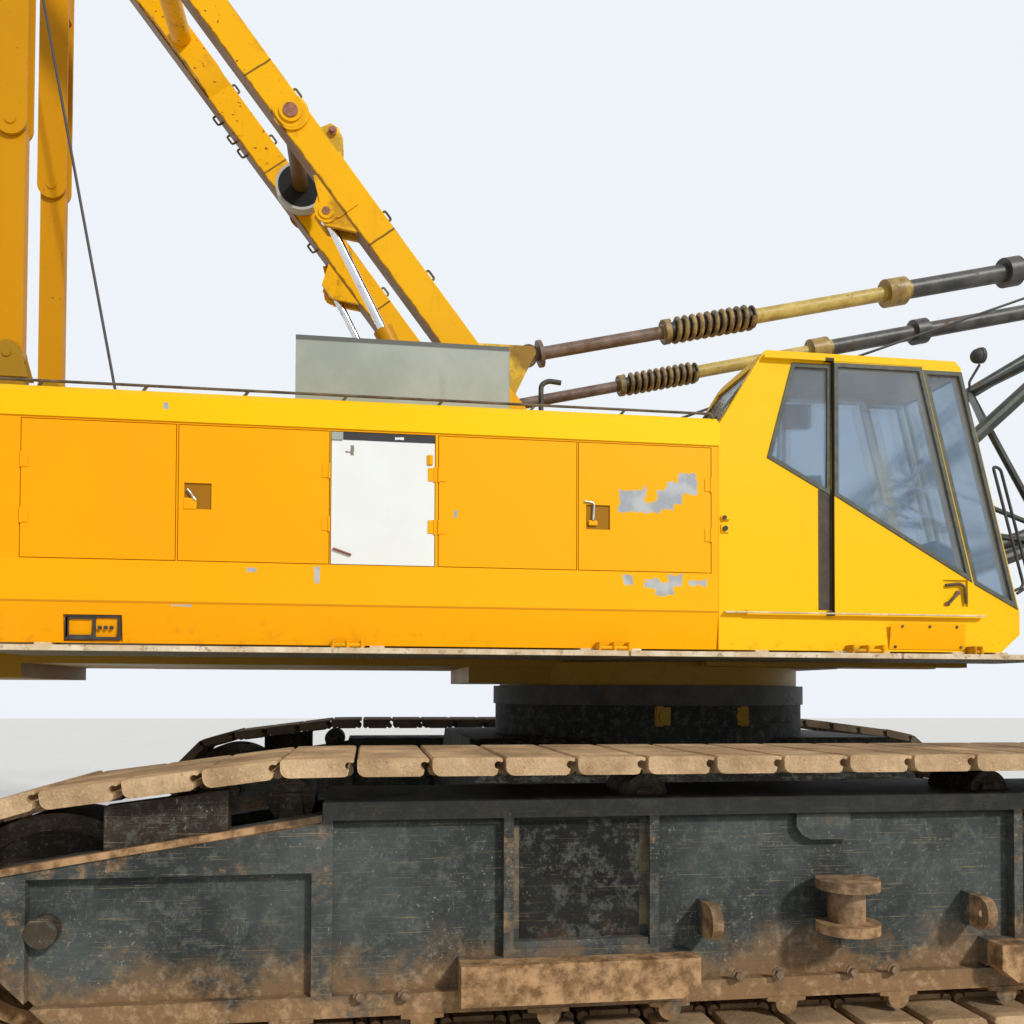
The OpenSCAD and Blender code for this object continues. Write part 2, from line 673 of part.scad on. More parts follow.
// Side doors: rear edge, front edge, side of the hinge (-1 rear, 1 front)
doors = [
  [-5155, -4095, -1], [-4085, -3005, 1], [-3000, -2225, 1], [-2205, -1135, -1], [-1128, -55, 1]
];
lip = 22;
function skirt_y(z) = -house_y + skirt_in * (crease_z - z) / (crease_z - skirt_z);
side_profile = [
  [-house_y + skirt_in, skirt_z], [-channel_y, skirt_z], [-channel_y, roof_low_z], [-house_y, roof_low_z],
  [-house_y, crease_z]
];
module house(front_x, has_centre) {
  difference() {
    slab_x(side_profile, house_rear_x, front_x);
    slab_x([[-house_y + skirt_in + skirt_t, skirt_z - 1], [-channel_y - panel_t, skirt_z - 1],
            [-channel_y - panel_t, roof_low_z + 1], [-house_y + panel_t, roof_low_z + 1],
            [-house_y + panel_t, crease_z]],
      house_rear_x + panel_t, front_x - panel_t);
    // Room for the deck plate behind the skirt
    box([house_rear_x - 1, -house_y + skirt_in + skirt_t, skirt_z - 1],
        [front_x + 1, -channel_y + 1, deck_z + seat]);
    // Door openings, each with a lip behind its leaf
    for (i = [0 : 4])
      if (i != 2 || has_centre) {
        box([doors[i][0], -house_y - 1, door_low_z], [doors[i][1], -house_y + leaf_t + seat, door_top_z]);
        box([doors[i][0] + lip, -house_y, door_low_z + lip],
            [doors[i][1] - lip, -house_y + 2 * panel_t, door_top_z - lip]);
      }
    if (has_centre)
      slab_x([for (p = [[-30, 10], [24, 10], [24, 200], [-30, 200]])
                [skirt_y(skirt_z + p.y) + p.x, skirt_z + p.y]],
        recess_x, recess_x + recess_len);
    // Vents in the wall towards the channel
    for (x = [house_rear_x + 700 : 400 : house_rear_x + 1900])
      box([x, -channel_y - 2 * panel_t, deck_z + 660], [x + 260, -channel_y + 1, deck_z + 1160]);
  }
}
module house_right() { color(yellow) house(house_front_x, true); }
module house_left() { color(yellow) mirror([0, 1, 0]) house(left_front_x, false); }
roof_profile = [
  [-house_y - 12, roof_low_z + seat], [-channel_y + 20, roof_low_z + seat], [-channel_y + 20, roof_z],
  [-house_y + 70, roof_z], [-house_y - 12, roof_crease_z]
];
module roof(front_x) {
  difference() {
    slab_x(roof_profile, house_rear_x - 10, front_x + 10);
    slab_x([for (p = inset(roof_profile, panel_t)) [p.x, p.y < roof_low_z + 60 ? roof_low_z - 5 : p.y]],
      house_rear_x + panel_t, front_x - panel_t);
  }
}
module house_roofs() {
  color("#f7c21a") {
    roof(house_front_x);
    mirror([0, 1, 0]) roof(left_front_x);
  }
}
// Handle recesses: door, rear edge, lower edge
handles = [[1, -4040, 3265], [4, -1065, 3205]];
recess_d = leaf_t - 14;
module side_door(i) {
  d = doors[i];
  a = d[0] + leaf_gap;
  b = d[1] - leaf_gap;
  pts = d[2] < 0
    ? [[a, -house_y], [b, -house_y], [b, -house_y + leaf_t], [a + leaf_t, -house_y + leaf_t]]
    : [[a, -house_y], [b, -house_y], [b - leaf_t, -house_y + leaf_t], [a, -house_y + leaf_t]];
  difference() {
    translate([0, 0, door_low_z + leaf_gap])
      linear_extrude(height = door_top_z - door_low_z - 2 * leaf_gap) polygon(pts);
    for (h = handles)
      if (h[0] == i)
        box([h[1], -house_y - 1, h[2]], [h[1] + handle_w, -house_y + recess_d, h[2] + handle_w]);
  }
}
module right_door_1() { color(yellow) side_door(0); }
module right_door_2() { color(yellow) side_door(1); }
module right_door_3() { color("#e9eae6") side_door(2); }
module right_door_4() { color(yellow) side_door(3); }
module right_door_5() { color(yellow) side_door(4); }
module left_door_1() { color(yellow) mirror([0, 1, 0]) side_door(0); }
module left_door_2() { color(yellow) mirror([0, 1, 0]) side_door(1); }
module left_door_4() { color(yellow) mirror([0, 1, 0]) side_door(3); }
module left_door_5() { color(yellow) mirror([0, 1, 0]) side_door(4); }

module engine_block() {
  color("#55564f")
    box([engine_x, -house_y + 180, deck_z + seat],
        [engine_x + engine_len, -channel_y - 160, deck_z + engine_h]);
}
module roof_box() {
  color("#8f9696") difference() {
    box([roof_box_x, -roof_box_y, roof_z + seat],
        [roof_box_x + roof_box_len, roof_box_w - roof_box_y, roof_z + roof_box_h]);
    box([roof_box_x + panel_t, panel_t - roof_box_y, roof_z + panel_t],
        [roof_box_x + roof_box_len - panel_t, roof_box_w - panel_t - roof_box_y, roof_z + roof_box_h + 1]);
  }
}
walk_z = skirt_z - 45;
// Walkway panels on the right side: rear end, front end
panels = [[house_rear_x + 700, -900], [-880, 1180], [1200, house_front_x + cab_len - 20]];
module walkway(x0, x1) {
  box([x0, -house_y - walk_w, walk_z - walk_t], [x1, -house_y + 300, walk_z]);
  // Brackets under the skirt
  for (x = [x0 + 150, x0 + (x1 - x0) * 0.58, x1 - 200])
    box([x, -house_y + 15, walk_z - 5], [x + 110, -house_y + 300, skirt_z - seat]);
}
module walkways() {
  color(yellow) {
    for (p = panels) walkway(p[0], p[1]);
    mirror([0, 1, 0])
      for (p = panels)
        if (p[0] < left_front_x) walkway(p[0], min(p[1], left_front_x));
  }
}
module counterweight() {
  x1 = house_rear_x - 15;
  top = slab_t - seat;
  color(yellow)
    for (i = [0 : slab_n - 1])
      translate([0, 0, weight_z + i * slab_t]) difference() {
        slab_x([[-weight_y, 60], [-weight_y + 60, 0], [weight_y - 60, 0], [weight_y, 60], [weight_y, top - 60],
                [weight_y - 60, top], [-weight_y + 60, top], [-weight_y, top - 60]], tail_x, x1);
        box([x1 - 300, -channel_y, -1], [x1 + 1, channel_y, slab_t]);
      }
}

// Cab
cab_x = house_front_x + 20;
cab_slope_x = cab_x + 350;
cab_roof_x = cab_slope_x + cab_roof_len;
cab_front_x = cab_x + cab_len;
cab_outline = [
  [cab_x, skirt_z], [cab_front_x - 170, skirt_z], [cab_front_x, skirt_z + 150], [cab_front_x, crease_z + 50],
  [cab_roof_x + 50, cab_top_z - 50], [cab_roof_x, cab_top_z], [cab_slope_x + 50, cab_top_z],
  [cab_slope_x, cab_top_z - 60], [cab_x, roof_low_z + 180]
];
rear_window = [[450, 3842], [945, 3578], [955, 4590], [654, 4587]];
quarter_window = [[2242, 2870], [2590, 2690], [2110, 4590], [1800, 4590]];
door_outline = [[975, crease_z + 20], [2262, crease_z + 20], [1748, 4625], [975, 4625]];
door_window = [[1000, 3550], [2150, 2905], [1728, 4595], [1000, 4592]];
door_off = 5;
door_travel = 720;
module at_wall(pts, y, t, over = 0) { slab_y(pts, y - over, y + t + over); }
module cab_rails() {
  y0 = -cab_y - door_off - cab_door_t - 4;
  box([door_outline[0].x - door_travel - 15, y0, crease_z - 15],
      [door_outline[1].x + 15, -cab_y + 1, door_outline[0].y - seat]);
  box([cab_slope_x + 20, y0, door_outline[2].y + seat],
      [door_outline[2].x + 15, -cab_y + 1, door_outline[2].y + 26]);
}
module cab_shell() {
  color(yellow) cab_rails();
  color(yellow) difference() {
    slab_y(cab_outline, -cab_y, -cab_in_y);
    slab_y(inset(cab_outline, cab_wall), -cab_y + cab_wall, -cab_in_y - cab_wall);
    at_wall(rear_window, -cab_y, cab_wall, 5);
    at_wall(quarter_window, -cab_y, cab_wall, 5);
    at_wall(inset(door_outline, 60), -cab_y, cab_wall, 5);
    at_wall(rear_window, -cab_in_y - cab_wall, cab_wall, 5);
    at_wall(door_window, -cab_in_y - cab_wall, cab_wall, 5);
    at_wall(quarter_window, -cab_in_y - cab_wall, cab_wall, 5);
    // Windscreen and slanted rear window
    slab_y([[cab_front_x - 200, crease_z + 150], [cab_front_x + 50, crease_z + 150], [cab_roof_x + 100, cab_top_z - 110],
            [cab_roof_x - 100, cab_top_z - 110]], -cab_y + 90, -cab_in_y - 90);
    slab_y([[cab_x - 20, roof_low_z + 250], [cab_x + 150, roof_low_z + 250], [cab_slope_x + 80, cab_top_z - 120],
            [cab_slope_x - 150, cab_top_z - 120]], -cab_y + 90, -cab_in_y - 90);
  }
}
module cab_windows() {
  color("#7f97a3") {
    for (w = [rear_window, quarter_window]) at_wall(inset(w, seat), -cab_y + 15, glass_t);
    for (w = [rear_window, door_window, quarter_window]) at_wall(inset(w, seat), -cab_in_y - 25, glass_t);
    sloped_glass([cab_front_x, crease_z + 50], [cab_roof_x + 50, cab_top_z - 50], 120, 75);
    sloped_glass([cab_slope_x, cab_top_z - 60], [cab_x, roof_low_z + 180], 75, 100);
  }
}
// A pane set into the sloped edge from a to b, with its ends at e0 and e1 from the corners
module sloped_glass(a, b, e0, e1) {
  u = (b - a) / norm(b - a);
  n = [-u.y, u.x];
  p = a + u * e0;
  q = b - u * e1;
  slab_y([p + n * 15, q + n * 15, q + n * (15 + glass_t), p + n * (15 + glass_t)],
    -cab_y + 90 + seat, -cab_in_y - 90 - seat);
}
// Seat and console, in the middle of the cab's width
seat_x = cab_x + 980;
seat_y = -(cab_y + cab_in_y) / 2;
seat_z = skirt_z + 660;
console_x = cab_front_x - 490;
module cab_interior() {
  floor = skirt_z + cab_wall + seat;
  color("#33353a") {
    box([seat_x, seat_y - 220, floor], [seat_x + 500, seat_y + 220, seat_z]);
    slab_y([[seat_x - 20, seat_z], [seat_x + 560, seat_z], [seat_x + 560, seat_z + 130],
            [seat_x + 120, seat_z + 130], [seat_x, seat_z + 810], [seat_x - 120, seat_z + 810]],
      seat_y - 240, seat_y + 240);
    slab_y([[console_x - 200, floor], [console_x + 200, floor], [console_x + 100, seat_z + 200],
            [console_x - 100, seat_z + 300]], seat_y - 235, seat_y + 235);
  }
}
module cab_door() {
  color(yellow) difference() {
    slab_y(door_outline, -cab_y - door_off - cab_door_t, -cab_y - door_off);
    slab_y(door_window, -cab_y - 60, -cab_y + 5);
    // Handle recess
    box([1925, -cab_y - 60, 2660], [2145, -cab_y - door_off - cab_door_t + 18, 2880]);
  }
}
module cab_door_glass() {
  color("#7f97a3") slab_y(inset(door_window, seat), -cab_y - 30, -cab_y - 30 + glass_t);
}

// Gantry
stop_local = turn([stop_x - gantry_foot_x, stop_z - gantry_foot_z], -gantry_a);
// Half the width of the eyes between two cheeks
eye_half = 50;
module in_gantry() { translate([gantry_foot_x, 0, gantry_foot_z]) rotate([0, -gantry_a, 0]) children(); }
boss_u = 5250;
apex_pin_r = 80;
module gantry() {
  color(yellow) in_gantry() {
    for (s = [-1, 1]) {
      y0 = s * strut_y - strut_w / 2;
      difference() {
        union() {
          box([120, y0, -strut_d / 2], [gantry_len, y0 + strut_w, strut_d / 2]);
          pin(0, 0, y0, y0 + strut_w, 150);
          pin(gantry_len, 0, y0, y0 + strut_w, 190);
          pin(boss_u, 0, y0 - 25, y0 + strut_w + 25, 135);
          slab_y([[eye_u - 330, 100], [eye_u + 260, 100], [eye_u + 90, eye_v + 70], [eye_u - 90, eye_v + 70]],
            y0, y0 + strut_w);
        }
        slab_y([[eye_u - 500, strut_d / 2 + 8], [eye_u + 400, strut_d / 2 + 8], [eye_u + 400, 600],
                [eye_u - 500, 600]], s * strut_y - 62, s * strut_y + 62);
        pin(0, 0, y0 - 1, y0 + strut_w + 1, gantry_pin_r);
      }
      // Bracket of the backstop, with its pin
      q = stop_local;
      difference() {
        union() {
          slab_y([[q.x - 230, -130], [q.x - 52, q.y - 10], [q.x + 52, q.y - 22], [q.x + 330, -130]],
            y0, y0 + strut_w);
          pin(q.x, q.y, y0, y0 + strut_w, 56);
        }
        slab_y([[q.x - 150, q.y - 100], [q.x + 240, q.y - 100], [q.x + 240, q.y + 130], [q.x - 150, q.y + 130]],
          s * strut_y - eye_half - run, s * strut_y + eye_half + run);
      }
      pin(q.x, q.y, y0 + 1, y0 + strut_w - 1, small_pin_r - seat);
    }
    bar([boss_u, -strut_y, 0], [boss_u, strut_y, 0], 75, 48);
    bar([gantry_len, -strut_y, 0], [gantry_len, strut_y, 0], apex_pin_r, 48);
    bar([900, -strut_y, 0], [900, strut_y, 0], 75, 48);
    // Guide sheave and head sheave, each turning on its shaft
    loose_wheel(boss_u, 300, 420, guide_r, 75);
    loose_wheel(gantry_len, -30, 30, 260, apex_pin_r);
  }
}
module loose_wheel(u, y0, y1, r, shaft_r) {
  difference() {
    pin(u, 0, y0, y1, r, 64);
    pin(u, 0, y0 - 1, y1 + 1, shaft_r + seat);
  }
}
eye = [gantry_foot_x, gantry_foot_z] + turn([eye_u, eye_v], gantry_a);
ram_foot = [ram_foot_x, gantry_foot_z + 60];
ram_a = atan2(eye.y - ram_foot.y, eye.x - ram_foot.x);
ram_len = norm(eye - ram_foot);
module in_ram() { translate([ram_foot.x, 0, ram_foot.y]) rotate([0, -ram_a, 0]) children(); }
module gantry_barrels() {
  color(yellow) in_ram() for (s = [-1, 1]) {
    difference() {
      union() {
        bar([150, s * strut_y, 0], [barrel_len, s * strut_y, 0], barrel_r, 48);
        bar([40, s * strut_y, 0], [170, s * strut_y, 0], 50, 48);
        pin(0, 0, s * strut_y - 60, s * strut_y + 60, 85);
      }
      pin(0, 0, s * strut_y - 61, s * strut_y + 61, small_pin_r);
      bar([500, s * strut_y, 0], [barrel_len - 80, s * strut_y, 0], rod_r + 8, 48);
      bar([barrel_len - 100, s * strut_y, 0], [barrel_len + 1, s * strut_y, 0], rod_r + seat, 48);
    }
  }
}
module gantry_rods() {
  color(steel) in_ram() for (s = [-1, 1])
    union() {
      bar([barrel_len - 1200, s * strut_y, 0], [ram_len - 40, s * strut_y, 0], rod_r, 48);
      pin(ram_len, 0, s * strut_y - eye_half, s * strut_y + eye_half, 62);
    }
}
link_up_len = gantry_foot_z + gantry_len * sin(gantry_a) - link_low_z - link_low_len;
module rear_links_upper() {
  z0 = link_low_z + link_low_len;
  z1 = z0 + link_up_len;
  color(yellow) for (s = [-1, 1]) {
    difference() {
      union() {
        for (t = [-1, 1]) {
          y = s * link_y + t * 77 - 14;
          box([link_x - 130, y, z0], [link_x + 130, y + 28, z1]);
          pin(link_x, z0, y, y + 28, 130);
          pin(link_x, z1, y, y + 28, 170);
        }
        box([link_x - 120, s * link_y - 70, z1 - 1500], [link_x + 120, s * link_y + 70, z1 - 450]);
      }
      pin(link_x, z1, s * link_y - 100, s * link_y + 100, apex_pin_r + seat);
    }
    for (t = [-1, 1]) pin(link_x, z0, s * link_y + t * 85 - 16, s * link_y + t * 85 + 16, 45);
  }
}
module rear_links_lower() {
  z0 = link_low_z;
  z1 = z0 + link_low_len;
  color(yellow) for (s = [-1, 1])
    difference() {
      union() {
        box([link_x - 110, s * link_y - 50, z0], [link_x + 110, s * link_y + 50, z1]);
        pin(link_x, z0, s * link_y - 50, s * link_y + 50, 110);
        pin(link_x, z1, s * link_y - 50, s * link_y + 50, 110);
      }
      pin(link_x, z0, s * link_y - 60, s * link_y + 60, small_pin_r);
    }
}

// Backstops: a hinged inner tube, a sliding buffer spring with its middle tube, and a sliding outer tube
module in_stop() { translate([stop_x, 0, stop_z]) rotate([0, -stop_rise, 0]) children(); }
mid_end_u = 3640;
spring_rings = 10;
spring_end_u = spring_u + spring_len;
module backstop_bases() {
  color("#5a4632") in_stop() for (s = [-1, 1]) translate([0, s * strut_y, 0]) {
    difference() {
      union() {
        pin(0, 0, -eye_half, eye_half, 90);
        bar([60, 0, 0], [spring_u + 1200, 0, 0], stop_inner_r, 48);
      }
      pin(0, 0, -eye_half - 1, eye_half + 1, small_pin_r);
    }
    bar([95, 0, 0], [130, 0, 0], 120, 48);
  }
}
module backstop_springs() {
  color("#a8862f") in_stop() for (s = [-1, 1]) translate([0, s * strut_y, 0]) {
    difference() {
      union() {
        bar([spring_u - 60, 0, 0], [spring_u, 0, 0], spring_r, 48);
        for (i = [0 : spring_rings - 1])
          translate([spring_u + spring_len * (i + 0.25) / spring_rings, 0, 0]) rotate([0, 90, 0])
            cylinder(r = spring_r - 4, h = spring_len * 0.55 / spring_rings, $fn = 48);
        bar([spring_u - 1, 0, 0], [spring_end_u, 0, 0], spring_r - 40, 48);
        bar([spring_end_u - 1, 0, 0], [mid_end_u + 1400, 0, 0], stop_mid_r, 48);
      }
      bar([spring_u - 70, 0, 0], [spring_u + 60, 0, 0], stop_inner_r + seat, 48);
      bar([spring_u + 50, 0, 0], [spring_end_u + 1500, 0, 0], stop_inner_r + 3, 48);
    }
  }
}
module backstop_tubes() {
  color(green_black) in_stop() for (s = [-1, 1]) translate([0, s * strut_y, 0]) {
    difference() {
      union() {
        bar([mid_end_u - 100, 0, 0], [mid_end_u + 100, 0, 0], 130, 48);
        bar([mid_end_u, 0, 0], [stop_len - 260, 0, 0], stop_outer_r, 48);
        bar([mid_end_u + 1180, 0, 0], [mid_end_u + 1330, 0, 0], 140, 48);
        bar([stop_len - 270, 0, 0], [stop_len - 50, 0, 0], eye_half, 48);
        pin(stop_len, 0, -eye_half, eye_half, 90);
      }
      bar([mid_end_u - 110, 0, 0], [mid_end_u + 60, 0, 0], stop_mid_r + seat, 48);
      bar([mid_end_u + 50, 0, 0], [mid_end_u + 2850, 0, 0], stop_mid_r + 4, 48);
    }
  }
}

// Boom
module in_boom() { translate([boom_foot_x, 0, boom_foot_z]) rotate([0, -boom_rise, 0]) children(); }
flare_u = 4000;
// Place of the backstops' outer eyes along the boom and over its middle line
stop_seat = turn([stop_x - boom_foot_x, stop_z - boom_foot_z] + turn([stop_len, 0], stop_rise), -boom_rise);
// Half width and half depth of the chord box at distance u from the foot
function half_w(u) = u < flare_u ? foot_span / 2 + (boom_w / 2 - foot_span / 2) * u / flare_u : boom_w / 2;
function half_d(u) = u < flare_u ? 120 + (boom_w / 2 - 120) * u / flare_u
  : u < boom_len - 3200 ? boom_w / 2 : boom_w / 2 - (boom_w / 2 - 420) * (u - boom_len + 3200) / 3200;
function corner(u, i) = let (c = [[-1, -1], [1, -1], [1, 1], [-1, 1]][i % 4])
  [u, c.x * half_w(u), c.y * half_d(u)];
module chords(stations) {
  for (k = [0 : len(stations) - 2])
    for (i = [0 : 3]) bar(corner(stations[k], i), corner(stations[k + 1], i), chord_r, 12);
}
module lacing(u0, u1, n) {
  step = (u1 - u0) / n;
  for (k = [0 : n - 1])
    for (i = [0 : 3]) {
      a = u0 + k * step;
      bar(corner(a, i + k % 2), corner(a + step, i + (k + 1) % 2), lace_r, 6);
    }
}
module frame_ring(u) { for (i = [0 : 3]) bar(corner(u, i), corner(u, i + 1), lace_r + 12, 6); }
module boom_butt() {
  color(green_black) in_boom() {
    chords([250, flare_u, butt_len]);
    lacing(1300, flare_u, 2);
    lacing(flare_u, butt_len - 60, 3);
    frame_ring(1300);
    frame_ring(flare_u);
    frame_ring(butt_len - 60);
    for (s = [-1, 1])
      difference() {
        union() {
          slab_y([[0, -115], [700, -250], [700, 250], [0, 115]],
            s * foot_span / 2 - 65, s * foot_span / 2 + 65);
          pin(0, 0, s * foot_span / 2 - 65, s * foot_span / 2 + 65, 115);
        }
        pin(0, 0, s * foot_span / 2 - 70, s * foot_span / 2 + 70, boom_pin_r);
      }
    // Bracket that the backstops push on
    q = stop_seat;
    bar([q.x, -boom_w / 2, boom_w / 2], [q.x, boom_w / 2, boom_w / 2], 60, 12);
    for (s = [-1, 1])
      for (t = [-1, 1]) {
        y = s * strut_y + t * (eye_half + run + 15) - 15;
        slab_y([[q.x - 150, boom_w / 2 - 30], [q.x + 150, boom_w / 2 - 30], [q.x + 90, q.y], [q.x - 90, q.y]],
          y, y + 30);
        pin(q.x, q.y, y, y + 30, 90);
      }
  }
}
pendant_pin_r = 55;
head_pin_r = 60;
module boom_top() {
  color(green_black) in_boom() {
    chords([butt_len + seat, boom_len - 3200, boom_len]);
    lacing(butt_len + 60, boom_len - 3200, 3);
    lacing(boom_len - 3200, boom_len - 200, 3);
    frame_ring(butt_len + 60);
    frame_ring(boom_len - 3200);
    for (s = [-1, 1])
      slab_y([[boom_len - 700, -420], [sheave_u - 130, sheave_v - 100], [sheave_u + 130, sheave_v - 100],
              [sheave_u + 130, sheave_v + 100], [boom_len + 60, 420], [boom_len - 700, 420]],
        s * boom_w / 2 - 40, s * boom_w / 2 + 40);
    bar([boom_len - 120, -boom_w / 2, 420], [boom_len - 120, boom_w / 2, 420], pendant_pin_r, 32);
    bar([boom_len - 500, -boom_w / 2, 0], [boom_len - 500, boom_w / 2, 0], 90, 32);
    bar([boom_len - 650, -boom_w / 2, -380], [boom_len - 650, boom_w / 2, -380], 70, 32);
    bar([sheave_u, -boom_w / 2, sheave_v], [sheave_u, boom_w / 2, sheave_v], head_pin_r, 32);
  }
}
module head_sheaves() {
  color("#3a3a38") in_boom()
    for (i = [-3 : 2 : 3])
      difference() {
        pin(sheave_u, sheave_v, i * 100 - 50, i * 100 + 50, sheave_r, 64);
        pin(sheave_u, sheave_v, i * 100 - 51, i * 100 + 51, head_pin_r + seat, 64);
      }
}
pendant_at = [boom_foot_x, boom_foot_z] + turn([boom_len - 120, 420], boom_rise);
apex = [gantry_foot_x, gantry_foot_z] + turn([gantry_len, 0], gantry_a);
pendant_a = atan2(apex.y - pendant_at.y, apex.x - pendant_at.x);
module in_pendant() { translate([pendant_at.x, 0, pendant_at.y]) rotate([0, -pendant_a, 0]) children(); }
// Spreaders: distance of the sheaves from the pendants' end and from the gantry's apex
far_wheel_u = pendant_len + 330;
near_wheel_u = 540;
wheel_t = 50;
fall_span = norm(apex - pendant_at) - far_wheel_u - near_wheel_u;
module spreader_wheels(u, r, pin_r) {
  for (i = [-2 : 2])
    difference() {
      pin(u, 0, i * wheel_gap - wheel_t / 2, i * wheel_gap + wheel_t / 2, r, 64);
      pin(u, 0, i * wheel_gap - wheel_t, i * wheel_gap + wheel_t, pin_r + seat);
    }
}
// Falls of the boom hoist rope, half from each spreader. Each half steps to its own side as it goes,
// so that the two pass beside each other and beside the sheaves when the boom is raised.
fall_off = 16;
fall_rate = 0.0074;
module falls(u, r0, r1, way) {
  half = fall_span / 2 + 60;
  rise = (r1 - r0) / fall_span;
  for (i = [-2 : 2])
    for (t = [-1, 1]) {
      y = i * wheel_gap + way * fall_off;
      bar([u, y, t * (r0 + rope_r + seat)],
          [u + half, y + way * fall_rate * half, t * (r0 + rise * half + rope_r + seat)], rope_r, 8);
    }
}
module pendants() {
  color("#3a3a38") in_pendant() {
    for (s = [-1, 1]) {
      difference() {
        pin(0, 0, s * pendant_y - 30, s * pendant_y + 30, 120);
        pin(0, 0, s * pendant_y - 40, s * pendant_y + 40, pendant_pin_r + seat);
      }
      bar([90, s * pendant_y, 0], [pendant_len, s * pendant_y, 0], 32, 16);
      for (u = [0.35, 0.68])
        bar([pendant_len * u, s * pendant_y, 0], [pendant_len * u + 420, s * pendant_y, 0], 60, 16);
      box([pendant_len, s * cheek_y - 15, -90], [far_wheel_u + 90, s * cheek_y + 15, 90]);
    }
    box([pendant_len - 20, -pendant_y - 100, -110], [pendant_len + 60, pendant_y + 100, 110]);
    bar([far_wheel_u, -cheek_y - 20, 0], [far_wheel_u, cheek_y + 20, 0], 60, 32);
    spreader_wheels(far_wheel_u, far_wheel_r, 60);
    falls(far_wheel_u, far_wheel_r, near_wheel_r, -1);
  }
}
module gantry_spreader() {
  color(yellow) translate([apex.x, 0, apex.y]) rotate([0, 180 - pendant_a, 0]) {
    for (s = [-1, 1])
      difference() {
        union() {
          pin(0, 0, s * cheek_y - 25, s * cheek_y + 25, 150);
          box([0, s * cheek_y - 25, -90], [near_wheel_u + 100, s * cheek_y + 25, 90]);
        }
        pin(0, 0, s * cheek_y - 30, s * cheek_y + 30, apex_pin_r + seat);
      }
    pin(near_wheel_u, 0, -cheek_y - 28, cheek_y + 28, 60);
    spreader_wheels(near_wheel_u, near_wheel_r, 60);
    falls(near_wheel_u, near_wheel_r, far_wheel_r, 1);
  }
}
hook_at = [boom_foot_x, boom_foot_z] + turn([sheave_u, sheave_v], boom_rise);
module hook_block() {
  color("#3a3a38") translate([hook_at.x, 0, hook_at.y]) {
    for (y = [-100, 100]) {
      pin(0, -hook_drop, y - 40, y + 40, hook_sheave_r, 64);
      // Falls of the hoist rope up to the head sheaves
      for (t = [-1, 1])
        bar([t * (hook_sheave_r - 4), y, -hook_drop], [t * (sheave_r + fall_r + seat), y, 0], fall_r, 12);
    }
    pin(0, -hook_drop, -220, 220, 55);
    for (s = [-1, 1])
      slab_y([[-160, -hook_drop - 400], [160, -hook_drop - 400],
              [240, -hook_drop + 160], [-240, -hook_drop + 160]],
        s * 180 - 20, s * 180 + 20);
    box([-150, -200, -hook_drop - 460], [150, 200, -hook_drop - 350]);
    bar([0, 0, -hook_drop - 640], [0, 0, -hook_drop - 450], 70, 32);
    translate([0, 0, -hook_drop - 800]) rotate([90, 0, 0]) rotate([0, 0, -120])
      rotate_extrude(angle = 250, $fn = 48) translate([150, 0]) circle(r = 55, $fn = 32);
    bar([0, 0, -hook_drop - 680], [0, 0, -hook_drop - 620], 80, 32);
  }
}

placed() carbody();
placed() slew_ring();
placed() side_frame_right();
placed() side_frame_left();
placed() track_right();
placed() track_left();
placed() track_rollers();
placed() drive_wheels();
placed() idler_wheels();
placed() deck_frame();
placed() house_right();
placed() house_left();
placed() house_roofs();
placed() walkways();
placed() counterweight();
placed() engine_block();
placed() roof_box();
placed() cab_shell();
placed() cab_windows();
placed() cab_interior();
placed() cab_door();
placed() cab_door_glass();
placed() right_door_1();
placed() right_door_2();
placed() right_door_3();
placed() right_door_4();
placed() right_door_5();
placed() left_door_1();
placed() left_door_2();
placed() left_door_4();
placed() left_door_5();
placed() gantry();
placed() gantry_barrels();
placed() gantry_rods();
placed() rear_links_upper();
placed() rear_links_lower();
placed() backstop_bases();
placed() backstop_springs();
placed() backstop_tubes();
placed() hoist_drum();
placed() boom_hoist_drum();
placed() boom_butt();
placed() boom_top();
placed() head_sheaves();
placed() pendants();
placed() gantry_spreader();
placed() hook_block();
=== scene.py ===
import json
import math

import bmesh
import bpy
from mathutils import Matrix, Vector


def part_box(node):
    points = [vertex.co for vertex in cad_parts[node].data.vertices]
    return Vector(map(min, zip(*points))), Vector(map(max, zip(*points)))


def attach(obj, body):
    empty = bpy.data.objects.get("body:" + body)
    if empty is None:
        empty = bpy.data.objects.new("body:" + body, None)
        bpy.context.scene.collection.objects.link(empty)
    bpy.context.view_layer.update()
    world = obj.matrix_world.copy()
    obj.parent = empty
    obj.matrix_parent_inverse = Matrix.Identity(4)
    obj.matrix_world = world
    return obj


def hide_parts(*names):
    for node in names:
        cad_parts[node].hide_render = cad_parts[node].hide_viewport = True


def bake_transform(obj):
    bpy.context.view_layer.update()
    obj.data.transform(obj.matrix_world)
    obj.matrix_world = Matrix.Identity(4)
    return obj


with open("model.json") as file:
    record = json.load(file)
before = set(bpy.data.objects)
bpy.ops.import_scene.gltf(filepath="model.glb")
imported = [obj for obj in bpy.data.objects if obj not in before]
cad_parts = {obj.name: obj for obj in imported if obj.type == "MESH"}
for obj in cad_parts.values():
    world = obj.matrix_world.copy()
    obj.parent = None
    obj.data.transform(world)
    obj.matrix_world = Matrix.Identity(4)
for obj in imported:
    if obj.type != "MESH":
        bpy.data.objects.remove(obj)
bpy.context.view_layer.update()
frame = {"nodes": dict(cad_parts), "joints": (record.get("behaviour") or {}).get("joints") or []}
joints = {joint["name"]: joint for joint in frame["joints"]}
slewX = joints["upper_slew"]["pos_m"][0]  # the slewing axis; every x below is metres before it
sideWays = {"right": -1, "left": 1}
houseY = 2.0  # half the width over the house
link = bpy.context.scene.collection.objects.link


def at(x, y, z):
    return Vector((x + slewX, y, z))


def upright(points, y):  # places x, z in the plane at y
    return [at(x, y, z) for x, z in points]


def corners(x0, x1, z0, z1):
    return (x0, z0), (x1, z0), (x1, z1), (x0, z1)


def jointPlace(name):
    return Vector(joints[name]["pos_m"])


print("stage: camera")

